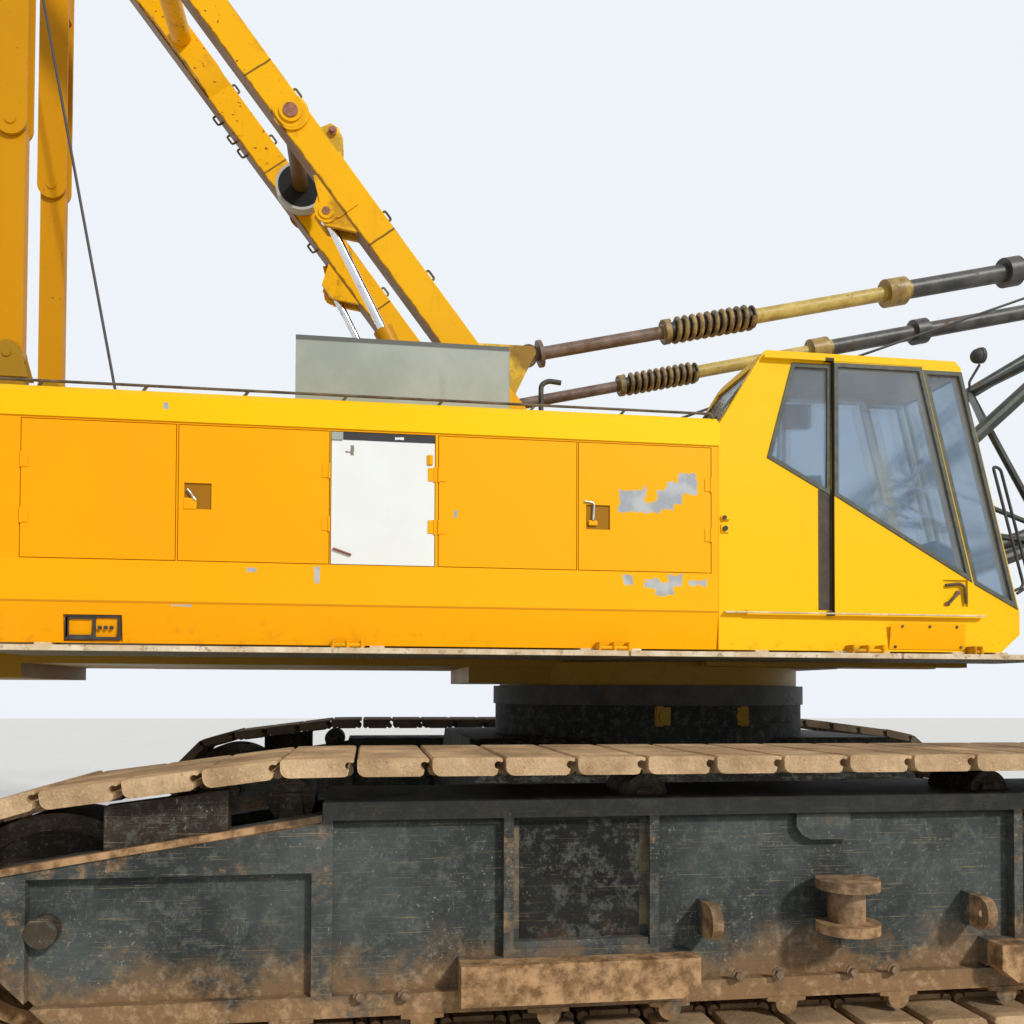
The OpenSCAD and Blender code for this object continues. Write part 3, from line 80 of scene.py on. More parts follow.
cameraFacts = {
    "place": (-2.72, -9.1, 1.95), "yaw": math.radians(8.6711), "pitch": math.radians(1.3423),
    "roll": math.radians(0.2137), "sensor": 36, "farthest": 200,
    "focalPixels": 947.49, "centreRow": 669.7, "frameSize": 1024,  # pixels; the row is the optical axis
}


def makeCamera(facts):
    yaw, pitch, roll = facts["yaw"], facts["pitch"], facts["roll"]
    forward = Vector((math.sin(yaw) * math.cos(pitch), math.cos(yaw) * math.cos(pitch), math.sin(pitch)))
    right = Vector((math.cos(yaw), -math.sin(yaw), 0))
    up = right.cross(forward)
    right, up = (right * math.cos(roll) + up * math.sin(roll), up * math.cos(roll) - right * math.sin(roll))
    data = bpy.data.cameras.new("camera")
    data.sensor_fit = "HORIZONTAL"
    data.sensor_width = facts["sensor"]
    data.lens = facts["sensor"] * facts["focalPixels"] / facts["frameSize"]
    data.shift_y = (facts["centreRow"] - facts["frameSize"] / 2) / facts["frameSize"]
    data.clip_end = facts["farthest"]
    camera = bpy.data.objects.new("camera", data)
    turn = Matrix((right, up, -forward)).transposed().to_4x4()
    camera.matrix_world = Matrix.Translation(at(*facts["place"])) @ turn
    link(camera)
    bpy.context.scene.camera = camera


makeCamera(cameraFacts)

print("stage: shading tools")


def feed(tree, socket, value):  # a link where the value comes from a node, and else a constant
    value = getattr(value, "socket", value)
    if isinstance(value, bpy.types.NodeSocket):
        tree.links.new(value, socket)
    else:
        socket.default_value = value


def addNode(tree, kind, settings=None, inputs=None):
    node = tree.nodes.new(kind)
    for key, value in (settings or {}).items():
        setattr(node, key, value)
    for key, value in (inputs or {}).items():
        feed(tree, node.inputs[key], value)
    return node


def mathStep(operation, swap=False):
    def step(signal, *others):
        terms = (signal, *others)[::-1] if swap else (signal, *others)
        node = signal.shade.node("ShaderNodeMath", {"operation": operation}, dict(enumerate(terms)))
        return signal.shade.signal(node)
    return step


class Signal:  # a node socket that can be added, multiplied and so on
    __add__ = __radd__ = mathStep("ADD")
    __sub__, __rsub__ = mathStep("SUBTRACT"), mathStep("SUBTRACT", swap=True)
    __mul__ = __rmul__ = mathStep("MULTIPLY")
    __pow__ = mathStep("POWER")
    most, least = mathStep("MAXIMUM"), mathStep("MINIMUM")
    size, wave, part = mathStep("ABSOLUTE"), mathStep("SINE"), mathStep("FRACT")

    def __init__(self, shade, socket):
        self.shade = shade
        self.socket = socket

    def ramp(self, low, high, toLow=0.0, toHigh=1.0):  # a smooth step from low to high
        return self.shade.signal(self.shade.node("ShaderNodeMapRange", {"interpolation_type": "SMOOTHSTEP"}, {
            "Value": self, "From Min": low, "From Max": high, "To Min": toLow, "To Max": toHigh}), "Result")

    def fade(self, low, high):  # 1 below low, 0 above high
        return self.ramp(low, high, 1.0, 0.0)

    def within(self, low, high, soft):  # 1 between two places
        return self.ramp(low - soft, low + soft) * self.fade(high - soft, high + soft)


class Shade:  # one material, the nodes that feed it, and its colour so far
    sockets = {"color": "Base Color", "rough": "Roughness", "metal": "Metallic", "coat": "Coat Weight",
               "alpha": "Alpha", "normal": "Normal", "coatRough": "Coat Roughness",
               "spec": "Specular IOR Level", "glass": "Transmission Weight", "ior": "IOR"}

    def __init__(self, name, color):
        self.material = bpy.data.materials.new(name)
        self.material.use_nodes = True
        self.tree = self.material.node_tree
        self.tree.nodes.clear()
        self.surface = self.node("ShaderNodeBsdfPrincipled")
        self.node("ShaderNodeOutputMaterial", None, {"Surface": self.surface.outputs[0]})
        self.place = self.signal(self.node("ShaderNodeTexCoord"), "Object")
        split = self.node("ShaderNodeSeparateXYZ", None, {0: self.place})
        self.x, self.y, self.z = (self.signal(split, i) for i in range(3))
        self.ahead = self.x - slewX
        self.base = self.color = color

    def node(self, kind, settings=None, inputs=None):
        return addNode(self.tree, kind, settings, inputs)

    def signal(self, node, output=0):
        return Signal(self, node.outputs[output])

    def noise(self, scale, detail=3.0, rough=0.55, stretch=None, warp=0.0):
        place = self.place
        if stretch:
            place = self.signal(self.node("ShaderNodeMapping", None, {"Vector": place, "Scale": stretch}))
        return self.signal(self.node("ShaderNodeTexNoise", None, {
            "Vector": place, "Scale": scale, "Detail": detail, "Roughness": rough,
            "Distortion": warp}), "Fac")

    def wobble(self, scale, detail, reach, rough=0.55):
        return (self.noise(scale, detail, rough) - 0.5) * reach

    def patches(self, scale, detail, rough, low, high, stretch=None, warp=0.0):  # noise cut by a ramp
        return self.noise(scale, detail, rough, stretch, warp).ramp(low, high)

    def blend(self, mask, below, above):
        below, above = (tint if isinstance(tint, Signal) else (*tint, 1) for tint in (below, above))
        tints = {0: mask, 6: below, 7: above}
        return self.signal(self.node("ShaderNodeMix", {"data_type": "RGBA"}, tints), 2)

    def lay(self, mask, tint):  # a tint over the colour so far
        self.color = self.blend(mask, self.color, tint)

    def coat(self, noise, amount, tint, where=None):  # a tint in patches, kept to a mask if one is given
        mask = self.patches(*noise)
        self.lay((mask * where if where else mask) * amount, tint)
        return mask

    def along(self, start, way):  # distance from a place along a direction in the plane y = 0
        return (self.x - start.x) * way.x + (self.z - start.z) * way.z

    def torn(self, boxes, bites=(), ragged=0.05, scale=9.0):  # ragged patches seen from the side
        def inside(box):
            x0, x1, z0, z1 = box
            return (self.ahead - x0).least(x1 - self.ahead).least((self.z - z0).least(z1 - self.z))
        depth = inside(boxes[0])
        for box in boxes[1:]:
            depth = depth.most(inside(box))
        for box in bites:
            depth = depth.least(inside(box) * -1)
        return (depth + self.wobble(scale, 5, ragged, 0.62)).ramp(0.0, 0.006)

    def finish(self, *bump, **values):  # bump: height, strength, distance; values: the surface's sockets
        if bump:
            settings = dict(zip(("Height", "Strength", "Distance"), bump))
            values["normal"] = self.signal(self.node("ShaderNodeBump", None, settings), "Normal")
        for key, value in {"color": self.color, **values}.items():
            feed(self.tree, self.surface.inputs[self.sockets[key]], value)
        return self.material


print("stage: looks")

strutFoot, apexPlace, pendantEnd, stopFoot = map(jointPlace, (
    "gantry_fold", "spreader_swing", "pendant_swing", "backstop_swing"))
strutWay = (apexPlace - strutFoot).normalized()
strutDown = Vector((-strutWay.z, 0, strutWay.x))  # towards the struts' rear and lower side
pendantWay = (apexPlace - pendantEnd).normalized()
stopRise = math.radians(13)
stopWay = Vector((math.cos(stopRise), 0, math.sin(stopRise)))
stopAcross = Vector((-stopWay.z, 0, stopWay.x))
strutY = 0.775  # the middle of the struts, and of the backstops
bossAlong = 5.25  # the cross shaft's place on the struts


def ropeTwist(shade):
    return (shade.x * 260 + shade.z * 310 + shade.y * 120).wave().ramp(-0.5, 0.8)


# a noise is scale, detail, roughness, the ramp's ends and, where it has them, stretch and warp;
# a coat is a noise, an amount and a tint
paintFacts = {
    "rust": (0.14, 0.052, 0.018), "grime": (0.12, 0.065, 0.015),
    "dulled": (0.9, 4, 0.6, 0.38, 0.72), "runs": (5.0, 5, 0.62, 0.62, 0.80, (1.0, 1.0, 0.10)),
    "soot": (3.2, 6, 0.7, 0.63, 0.80), "splash": (10.0, 5, 0.65, 0.52, 0.72), "splashZ": (2.24, 2.62),
    "chips": (26.0, 5, 0.66), "chipEnds": (0.745, 0.757), "chipWear": 0.055,
    "chipAreas": (1.7, 2, 0.55, 0.42, 0.58),
}


def yellowPaint(name, base, wear, dress=None):  # dress adds what only that piece has
    facts = paintFacts
    shade = Shade(name, base)
    dulled = shade.patches(*facts["dulled"])
    shade.lay(dulled * 0.45, [part * 0.90 for part in base])
    shade.lay(shade.patches(*facts["runs"]) * (0.10 + 0.30 * wear), (base[0] * 0.66, base[1] * 0.55, 0.01))
    shade.lay(shade.patches(*facts["soot"]) * (0.06 + 0.30 * wear), facts["grime"])
    shade.lay(shade.patches(*facts["splash"]) * shade.z.fade(*facts["splashZ"]) * 0.30, facts["grime"])
    chips = shade.patches(*facts["chips"], *(end - facts["chipWear"] * wear for end in facts["chipEnds"]))
    chips = chips * shade.patches(*facts["chipAreas"])
    if dress:
        chips = dress(shade, chips)
    shade.lay(chips, facts["rust"])
    height = shade.noise(1.6, 2) * 0.8 + shade.noise(60.0, 2) * 0.015 - chips * 0.25
    return shade.finish(height, 0.16, 0.012, rough=0.40 + 0.18 * dulled + 0.3 * chips,
                        spec=0.14, coat=0.03, coatRough=0.25)


sideFacts = {  # boxes seen from the right side: x from and to, z from and to
    "bare": ((-0.805, -0.61, 3.350, 3.52), (-0.66, -0.46, 3.345, 3.45), (-0.50, -0.36, 3.37, 3.53),
             (-0.43, -0.29, 3.42, 3.60), (-0.33, -0.17, 3.50, 3.67), (-0.62, -0.55, 3.46, 3.57),
             (-0.77, -0.69, 2.78, 2.865), (-0.60, -0.47, 2.76, 2.84), (-0.52, -0.36, 2.70, 2.81),
             (-0.41, -0.30, 2.77, 2.87), (-0.25, -0.10, 2.78, 2.83)),
    "bites": ((-0.585, -0.52, 3.44, 3.60),),
    "scuffs": ((-3.60, -3.52, 2.815, 2.85), (-3.115, -3.07, 2.74, 2.87), (-2.09, -2.055, 3.26, 3.32),
               (-4.19, -4.15, 3.98, 4.03), (-4.12, -3.98, 2.555, 2.575)),
    "recesses": ((-4.04, 3.265), (-1.065, 3.205)), "recess": 0.19, "recessShadeTint": (0.20, 0.085, 0.008),
    "paintedLightX": (-5.2, 0.4), "paintedLightZ": (2.585, 2.885, 0.004), "foldShadeZ": (2.575, 2.592, 0.003),
    "foldShadeTint": (0.42, 0.16, 0.005), "primer": ((0.36, 0.39, 0.42), (0.50, 0.52, 0.53)),
}


def dressSide(shade, chips):  # bare patches, painted light along the side, painted shade along the lower side's fold and in the recesses behind the levers
    facts = sideFacts
    # painted light: the side is lighter towards the front and in a band above the fold
    bright = shade.ahead.ramp(*facts["paintedLightX"]) * 0.8 + shade.z.within(*facts["paintedLightZ"]) * 0.35
    shade.lay(bright, (shade.base[0] * 1.04, shade.base[1] * 1.20, 0.0))
    bare = shade.torn(facts["bare"], facts["bites"], 0.10, 15.0) * shade.y.ramp(-1.90, -1.93)
    scuffed = shade.torn(facts["scuffs"], (), 0.03, 22.0) * shade.y.ramp(-1.86, -1.90)
    shade.lay(bare.most(scuffed), shade.blend(shade.patches(6.0, 4, 0.55, 0.4, 0.65), *facts["primer"]))
    # painted shade: a dark line along the lower side's fold
    shade.lay(shade.z.within(*facts["foldShadeZ"]) * 0.60, facts["foldShadeTint"])
    # painted shade inside the recesses behind the levers
    for x, z in facts["recesses"]:
        shadedHollow = (shade.ahead.within(x, x + facts["recess"], 0.002)
                  * shade.z.within(z, z + facts["recess"], 0.002))
        shade.lay(shadedHollow * shade.y.ramp(-1.998, -1.992) * 0.80, facts["recessShadeTint"])
    return chips


def dressCab(shade, chips):  # the dark seal on the door's rear edge
    edge = shade.ahead.fade(0.979, 0.982) * shade.ahead.ramp(0.90, 0.91)
    shade.lay(edge * shade.y.ramp(-1.956, -1.9575), (0.045, 0.030, 0.014))
    return chips


strutFacts = {
    "plates": (0.3, 9.0, 0.1), "seams": (3.97, 5.715),  # where plates lie and meet, along the struts
    "under": (0.085, 0.034, 0.004), "lit": (1.0, 0.74, 0.09), "mount": (0.17, 0.09, 0.020),
    "seamTint": (0.09, 0.045, 0.012), "rims": ((3.0, 5, 0.7, 0.44, 0.60), 0.55, (0.20, 0.085, 0.015)),
    "stained": ((4.4, 6, 0.72, 0.55, 0.70, None, 0.3), 0.50, (0.50, 0.20, 0.012)),
    "streaks": ((6.0, 6, 0.7, 0.60, 0.68, (1.0, 1.0, 0.2)), 0.60, (0.26, 0.105, 0.012)),
    "spots": ((17.0, 3, 0.6, 0.655, 0.675), 0.85, (0.12, 0.04, 0.012)),
    "shaft": (0.040, 0.026, 0.014), "wheel": ((0.012, 0.012, 0.012), (0.42, 0.42, 0.38)),  # disc and rim
}


def dressStruts(shade, chips):
    facts = strutFacts
    u, v = shade.along(strutFoot, strutWay), shade.along(strutFoot, strutDown)
    plates = u.within(*facts["plates"])
    # darker along the struts' lower side: partly rust, partly painted shade
    under = (v + shade.wobble(9.0, 4, 0.05)).ramp(0.115, 0.134) * plates
    shade.lay(under * v.fade(0.146, 0.152) * 0.85, facts["under"])
    # painted highlight along the struts' upper edge
    shade.lay(v.fade(-0.139, -0.131) * plates * 0.55, facts["lit"])
    mount = ((shade.x - stopFoot.x) ** 2 + (shade.z - stopFoot.z) ** 2) ** 0.5 + shade.wobble(8.0, 4, 0.12)
    shade.lay(mount.ramp(0.13, 0.24, 0.85, 0.0), facts["mount"])
    shade.coat(*facts["rims"], v.size().ramp(0.128, 0.139))
    for seam in facts["seams"]:
        gap = (u - seam + shade.wobble(7.0, 2, 0.02)).size().fade(0.006, 0.012)
        shade.lay(gap * 0.85, facts["seamTint"])
    shade.coat(*facts["stained"], u.ramp(4.4, 6.4, 0.35, 1.0))
    shade.coat(*facts["streaks"], shade.y.ramp(-0.2, 0.4, 0.25, 1.0))
    shade.coat(*facts["spots"], u.ramp(5.2, 5.9))
    around = ((u - bossAlong) ** 2 + v ** 2) ** 0.5  # round the cross shaft, which carries a wheel
    # the cross shaft painted dark: its dark steel, and painted shade
    shade.lay(around.fade(0.125, 0.135) * shade.y.size().fade(0.660, 0.668) * 0.90, facts["shaft"])
    wheel = shade.y.within(0.285, 0.435, 0.003) * around.fade(0.28, 0.285)
    shade.lay(wheel, shade.blend(around.ramp(0.212, 0.218), *facts["wheel"]))
    return chips * (1 - wheel)


def dressSpreader(shade, chips):  # the falls
    falls = shade.along(apexPlace, pendantWay * -1).ramp(0.84, 0.86)
    shade.lay(falls, shade.blend(ropeTwist(shade), (0.02, 0.018, 0.016), (0.10, 0.09, 0.08)))
    return chips


blackFacts = {
    "tone": (1.5, 6, 0.66, 0.36, 0.68),
    "mottled": ((13.0, 7, 0.76, 0.48, 0.66), 0.50, (0.135, 0.140, 0.120)),
    "specks": (46.0, 4, 0.7, 0.60, 0.68), "speckAreas": (1.8, 4, 0.55, 0.40, 0.60),
    "speckTint": (0.42, 0.40, 0.30),
    "hair": (4.0, 6, 0.72, 0.60, 0.645, (0.7, 9.0, 46.0), 0.35), "hairTint": (0.40, 0.31, 0.18),
    "cross": (4.0, 5, 0.7, 0.645, 0.675, (30.0, 9.0, 5.0), 1.6), "crossTint": (0.40, 0.38, 0.31),
    "lowZ": (0.20, 0.80), "dust": ((0.27, 0.155, 0.070), (0.46, 0.29, 0.150)),
    "rust": ((0.10, 0.052, 0.024), (0.27, 0.165, 0.090)),
    "brown": ((0.16, 0.085, 0.036), (0.50, 0.30, 0.150)),
    "patina": ((3.4, 7, 0.72, 0.36, 0.62), 0.70, (0.26, 0.19, 0.105)),
    "plate": ((-1.93, -1.14, 0.01), (0.64, 1.20, 0.01)),  # the middle bay's plate, x and z
    "taperSlope": -0.1483, "taperZ": 1.716, "shadow": (0.014, 0.014, 0.012),
}


def blackFrame(name, base=(0.028, 0.032, 0.0305), worn=0.5, dress=None):
    facts = blackFacts
    shade = Shade(name, base)
    shade.lay(shade.patches(*facts["tone"]), [part * 2.5 for part in base])
    mottled = shade.coat(*facts["mottled"])
    specks = shade.patches(*facts["specks"]) * shade.patches(*facts["speckAreas"])
    shade.lay(specks * (0.20 + 0.60 * worn), facts["speckTint"])
    hair = shade.patches(*facts["hair"])
    shade.lay(hair * (0.25 + 0.55 * worn), facts["hairTint"])
    shade.lay(shade.patches(*facts["cross"]) * 1.10 * worn, facts["crossTint"])
    low = shade.z.fade(*facts["lowZ"])
    dusty = (shade.noise(2.6, 8, 0.74) + low * 0.22).ramp(0.52, 0.70)
    shade.lay(dusty * low * 0.85, shade.blend(mottled, *facts["dust"]))
    rusty = (shade.noise(6.0, 8, 0.74) + low * 0.06).ramp(0.63 - 0.03 * worn, 0.69)
    shade.lay(rusty * 1.20 * worn, shade.blend(shade.noise(22.0, 4), *facts["rust"]))
    if dress:
        dress(shade)
    height = shade.noise(9.0, 6, 0.7) * 0.6 + mottled * 0.18 - hair * 0.15 + specks * 0.1
    return shade.finish(height, 0.38, 0.012, rough=0.62 + 0.20 * dusty, spec=0.16)


def dressFrame(shade):  # what stands proud of the bays, the low flanges and the tapered tops
    facts = blackFacts
    face, far = shade.y.size(), shade.ahead.size()
    brown = shade.blend(shade.patches(9.0, 6, 0.7, 0.35, 0.65), *facts["brown"])
    spanX, spanZ = facts["plate"]
    plate = shade.ahead.within(*spanX) * shade.z.within(*spanZ) * face.within(3.80, 3.935, 0.004)
    shade.coat(*facts["patina"], plate)
    ribs = face.ramp(3.935, 3.946) * shade.patches(5.0, 6, 0.74, 0.50, 0.66)
    shade.lay(ribs * shade.z.ramp(1.15, 1.30, 1.0, 0.35) * 0.55, brown)
    proud = face.ramp(3.956, 3.975) * shade.patches(3.0, 5, 0.7, 0.26, 0.46)
    shade.lay(proud * shade.z.ramp(0.55, 0.80, 0.92, 0.62), brown)
    taper = shade.z - far * facts["taperSlope"] - facts["taperZ"]
    crust = taper.within(-0.034, 0.012, 0.004) * far.ramp(2.95, 3.0) * face.ramp(3.90, 3.91)
    shade.lay(crust * 0.9, brown)
    shade.lay(shade.z.within(1.235, 1.45, 0.012) * far.fade(3.1, 3.2) * 0.75, facts["shadow"])


shoeFacts = {
    "base": (0.33, 0.205, 0.105), "tone": ((2.2, 6, 0.65, 0.34, 0.70), 1.0, (0.72, 0.50, 0.285)),
    "grains": ((52.0, 5, 0.75, 0.44, 0.66), 0.45, (0.80, 0.58, 0.35)),
    "pits": ((30.0, 4, 0.7, 0.60, 0.70), 0.6, (0.10, 0.06, 0.03)),
    "dark": ((1.4, 5, 0.62, 0.56, 0.72), 0.55, (0.07, 0.055, 0.04)),
    "innerY": (4.02, 4.06), "inner": ((3.0, 4, 0.55, 0.3, 0.6), 0.4, (0.12, 0.085, 0.055)),
    "farY": (2.0, 2.5), "farTint": (0.045, 0.036, 0.027),  # the shoes on the left side
}


def dustyShoes(facts):
    shade = Shade("dusty shoes", facts["base"])
    shade.coat(*facts["tone"])
    grains, pits = shade.coat(*facts["grains"]), shade.coat(*facts["pits"])
    shade.coat(*facts["dark"])
    inner = shade.y.size().fade(*facts["innerY"])
    shade.coat(*facts["inner"], inner)
    shade.lay(inner * shade.y.ramp(*facts["farY"]) * 0.80, facts["farTint"])
    height = shade.noise(13.0, 7, 0.75) + grains * 0.3 - pits * 0.3
    return shade.finish(height, 0.65, 0.016, rough=0.88, spec=0.2)


def roughSteel(name, low, high, rough, metal, scale, rust, dress=None):
    shade = Shade(name, low)
    tone = shade.patches(scale, 5, 0.6, 0.3, 0.7)
    shade.lay(tone, high)
    rusty = shade.noise(scale * 1.3, 6, 0.7) + shade.noise(30.0, 3) * 0.15
    rusty = rusty.ramp(0.68 - 0.12 * rust, 0.78 - 0.08 * rust)
    shade.lay(rusty * 0.8, paintFacts["rust"])
    height = shade.noise(30.0, 4, 0.65) + rusty * 0.4
    if dress:
        height = dress(shade, tone, height)
    return shade.finish(height, 0.25, 0.006, rough=rough + 0.3 * rusty, spec=0.4,
                        metal=metal * (1 - rusty) if metal else 0.0)


def dressStops(shade, tone, height):  # the golden first collar on the backstops' outer tubes
    collar = shade.along(stopFoot, stopWay).fade(3.79, 3.80)
    shade.lay(collar, shade.blend(tone, (0.17, 0.10, 0.025), (0.50, 0.34, 0.09)))
    return height


def dressPendants(shade, tone, height):  # the falls, past a distance along the pendants' line
    twist = ropeTwist(shade)
    falls = shade.along(pendantEnd, pendantWay).ramp(9.05, 9.07)
    shade.lay(falls, shade.blend(twist, (0.018, 0.016, 0.014), (0.10, 0.09, 0.075)))
    return height + falls * twist * 0.5


springLook = {
    "base": (0.40, 0.28, 0.05), "tone": ((7.0, 5, 0.62, 0.35, 0.68), 1.0, (0.62, 0.46, 0.13)),
    "coil": (0.074, 0.078), "wire": (0.090, 0.102),  # distances from the tube's axis
    "wireTints": ((0.13, 0.085, 0.032), (0.40, 0.27, 0.095)), "gap": (0.022, 0.014, 0.008),
    "oil": ((11.0, 5, 0.7, 0.56, 0.70), 0.55, (0.06, 0.035, 0.015)),
}


def stopSprings(facts):  # ochre tube with brown coils, and painted shade between coil and tube
    shade = Shade("oily spring and tube", facts["base"])
    around = (shade.along(stopFoot, stopAcross) ** 2 + (shade.y.size() - strutY) ** 2) ** 0.5
    tone = shade.coat(*facts["tone"])
    wire = shade.blend(tone, *facts["wireTints"])
    # painted shade on the tube and on the coils' inner side, where coil and tube meet
    shade.lay(around.ramp(*facts["coil"]), shade.blend(around.ramp(*facts["wire"]), facts["gap"], wire))
    shade.coat(*facts["oil"])
    return shade.finish(shade.noise(40.0, 4), 0.25, 0.006, rough=0.42 + 0.25 * tone)


def greySheet():
    shade = Shade("grey sheet metal", (0.295, 0.325, 0.285))
    tone = shade.coat((1.5, 5, 0.6, 0.32, 0.72), 1.0, (0.385, 0.415, 0.37))
    stains = shade.coat((7.0, 5, 0.65, 0.58, 0.76, (1.0, 1.0, 0.25)), 0.35, (0.24, 0.20, 0.14))
    shade.lay(shade.z.ramp(4.725, 4.735) * 0.8, (0.06, 0.06, 0.055))
    shade.lay(shade.ahead.ramp(-1.60, -1.595) * 0.35, (0.16, 0.17, 0.15))
    return shade.finish(tone + stains * 0.3, 0.2, 0.01, rough=0.55, spec=0.3)


panelLook = {  # boxes: x from and to, z from and to
    "marks": ((-2.86, -2.83, 3.70, 3.78), (-2.90, -2.84, 3.715, 3.735)), "markTint": (0.22, 0.18, 0.14),
    "strip": ((-2.915, -2.20, 3.812, 3.90),), "stripGap": ((-2.53, -2.46, 3.83, 3.855),),
    "stripTint": (0.030, 0.030, 0.034),
}


def whitePanel(facts):
    shade = Shade("white panel", (0.81, 0.85, 0.825))
    tone = shade.coat((2.5, 4, 0.55, 0.3, 0.8), 1.0, (0.76, 0.79, 0.765))
    shade.coat((8.0, 5, 0.65, 0.64, 0.80, (1.0, 1.0, 0.1)), 0.22, (0.55, 0.52, 0.44))
    shade.lay(shade.torn(facts["marks"], (), 0.03, 30.0), facts["markTint"])
    strip = shade.torn(facts["strip"], (), 0.004) - shade.torn(facts["stripGap"], (), 0.03, 20.0)
    shade.lay(strip, facts["stripTint"])
    return shade.finish(shade.noise(3.0, 3), 0.22, 0.01, rough=0.42 + 0.2 * tone, spec=0.35)


def walkPlate():  # dusty edge over a punched underside, with painted shade below and painted highlights on the holes' rims
    shade = Shade("walkway plate", (0.62, 0.47, 0.29))
    tone = shade.coat((6.0, 5, 0.66, 0.36, 0.68), 1.0, (0.82, 0.72, 0.54))
    shade.coat((17.0, 5, 0.7, 0.55, 0.68), 0.7, (0.20, 0.115, 0.05))
    # painted shade on the underside and in its holes, a painted highlight on the holes' rims
    under = shade.z.fade(2.206, 2.2095)
    shade.lay(under, (0.15, 0.115, 0.055))
    across, down = (shade.x * 28.0).part() - 0.5, (shade.y * 21.0).part() - 0.5  # holes to the metre
    hole = (across ** 2 + down ** 2) ** 0.5
    shade.lay(under * hole.fade(0.20, 0.25), (0.012, 0.011, 0.010))
    shade.lay(under * hole.within(0.24, 0.34, 0.03) * 0.85, (0.72, 0.66, 0.50))
    return shade.finish(tone * 0.5 + hole.within(0.22, 0.36, 0.05) * under, 0.4, 0.01, rough=0.78, spec=0.25)


def tintedGlass():
    shade = Shade("tinted glass", (0.33, 0.455, 0.60))
    smear = shade.coat((2.6, 5, 0.6, 0.42, 0.74, (1.0, 1.0, 0.6)), 0.55, (0.50, 0.60, 0.70))
    return shade.finish(shade.noise(1.3, 2), 0.05, 0.01, rough=0.05 + 0.12 * smear, glass=0.6, ior=1.10,
                        coat=0.25, alpha=0.52 + 0.14 * smear)


def plainRubber(name, low=(0.018, 0.018, 0.018), high=(0.05, 0.05, 0.047), rough=0.65):
    shade = Shade(name, low)
    shade.coat((14.0, 5, 0.6, 0.3, 0.75), 1.0, high)
    dusty = shade.coat((5.0, 4, 0.6, 0.5, 0.8), 0.22, (0.25, 0.20, 0.14))
    return shade.finish(shade.noise(120.0, 3), 0.2, 0.002, rough=rough + 0.15 * dusty)


def ropeSteel():
    shade = Shade("greased rope", (0.020, 0.018, 0.016))
    twist = ropeTwist(shade)
    shade.lay(twist, (0.11, 0.10, 0.085))
    return shade.finish(twist, 0.5, 0.003, rough=0.5, metal=0.3)


sideYellow, strutYellow = (0.92, 0.388, 0.0), (0.86, 0.43, 0.001)
paints = {  # colour, wear, and what dresses it
    "side": ("worn yellow side", sideYellow, 0.10, dressSide),
    "door": ("worn yellow door", sideYellow, 0.06, dressSide),
    "roof": ("roof yellow", (0.93, 0.545, 0.001), 0.18, dressSide),
    "cab": ("cab yellow", (0.95, 0.56, 0.002), 0.10, dressCab),
    "gantry": ("gantry yellow", strutYellow, 0.75, dressStruts),
    "spreader": ("spreader yellow", strutYellow, 0.8, dressSpreader),
    "links": ("rusty link yellow", (0.58, 0.26, 0.002), 1.3),
    "deck": ("deck yellow", (0.34, 0.19, 0.012), 1.2),
    "weight": ("counterweight yellow", (0.90, 0.41, 0.002), 0.5),
}
riggingTints = (0.020, 0.020, 0.018), (0.075, 0.07, 0.06)
steels = {  # dark and light tint, roughness, metal, noise scale, rust, and what dresses it
    "boom": ("dark green boom", (0.020, 0.028, 0.020), (0.060, 0.070, 0.055), 0.45, 0.0, 4.0, 0.35),
    "ring": ("slewing ring steel", (0.012, 0.012, 0.011), (0.050, 0.045, 0.036), 0.6, 0.0, 5.0, 0.2),
    "rod": ("chromed rod", (0.62, 0.63, 0.64), (0.80, 0.81, 0.82), 0.14, 1.0, 3.0, 0.0),
    "drum": ("greasy drum", (0.030, 0.028, 0.025), (0.10, 0.09, 0.075), 0.4, 0.4, 12.0, 0.3),
    "rigging": ("black rigging", *riggingTints, 0.5, 0.3, 8.0, 0.5),
    "pendants": ("pendants", *riggingTints, 0.5, 0.3, 8.0, 0.5, dressPendants),
    "stopBrown": ("rusty brown tube", (0.095, 0.058, 0.040), (0.22, 0.150, 0.115), 0.46, 0.0, 5.0, 0.55),
    "stopDark": ("dark backstop tube", (0.028, 0.029, 0.028), (0.100, 0.092, 0.080), 0.42, 0.0, 5.0, 0.35,
                 dressStops),
    "railSteel": ("dark rail", (0.045, 0.034, 0.022), (0.17, 0.12, 0.07), 0.6, 0.0, 8.0, 0.4),
    "frameBolt": ("brown bolt", (0.10, 0.062, 0.036), (0.26, 0.17, 0.10), 0.7, 0.0, 20.0, 0.5),
    "engine": ("engine grey", (0.10, 0.11, 0.10), (0.22, 0.22, 0.20), 0.6, 0.0, 6.0, 0.3),
    "board": ("brown board", (0.50, 0.25, 0.10), (0.72, 0.40, 0.18), 0.7, 0.0, 5.0, 0.0),
    "bright": ("worn bright steel", (0.36, 0.34, 0.30), (0.62, 0.60, 0.55), 0.35, 0.8, 14.0, 0.3),
    "rustyPin": ("rusty pin", (0.20, 0.075, 0.045), (0.34, 0.14, 0.085), 0.6, 0.0, 16.0, 0.4),
}
looks = {
    **{key: yellowPaint(*row) for key, row in paints.items()},
    **{key: roughSteel(*row) for key, row in steels.items()},
    "walkway": walkPlate(), "shoes": dustyShoes(shoeFacts), "springs": stopSprings(springLook),
    "greySheet": greySheet(), "white": whitePanel(panelLook), "glass": tintedGlass(), "rope": ropeSteel(),
    "frame": blackFrame("scratched black frame", dress=dressFrame),
    "carbody": blackFrame("carbody black", (0.007, 0.007, 0.006), 0.1),
    "roller": blackFrame("roller black", (0.026, 0.019, 0.013), 0.5),
    "rubber": plainRubber("window rubber", (0.060, 0.068, 0.055), (0.115, 0.120, 0.095)),
    "blackTrim": plainRubber("black trim"),
    "brownButtonsAndShadeStrip": plainRubber("brown buttons and painted recess shade", (0.030, 0.020, 0.012), (0.070, 0.045, 0.025)),
    "seatCloth": plainRubber("seat cloth", (0.045, 0.05, 0.06), (0.10, 0.11, 0.13), 0.85),
}

print("stage: materials on the frame's nodes")

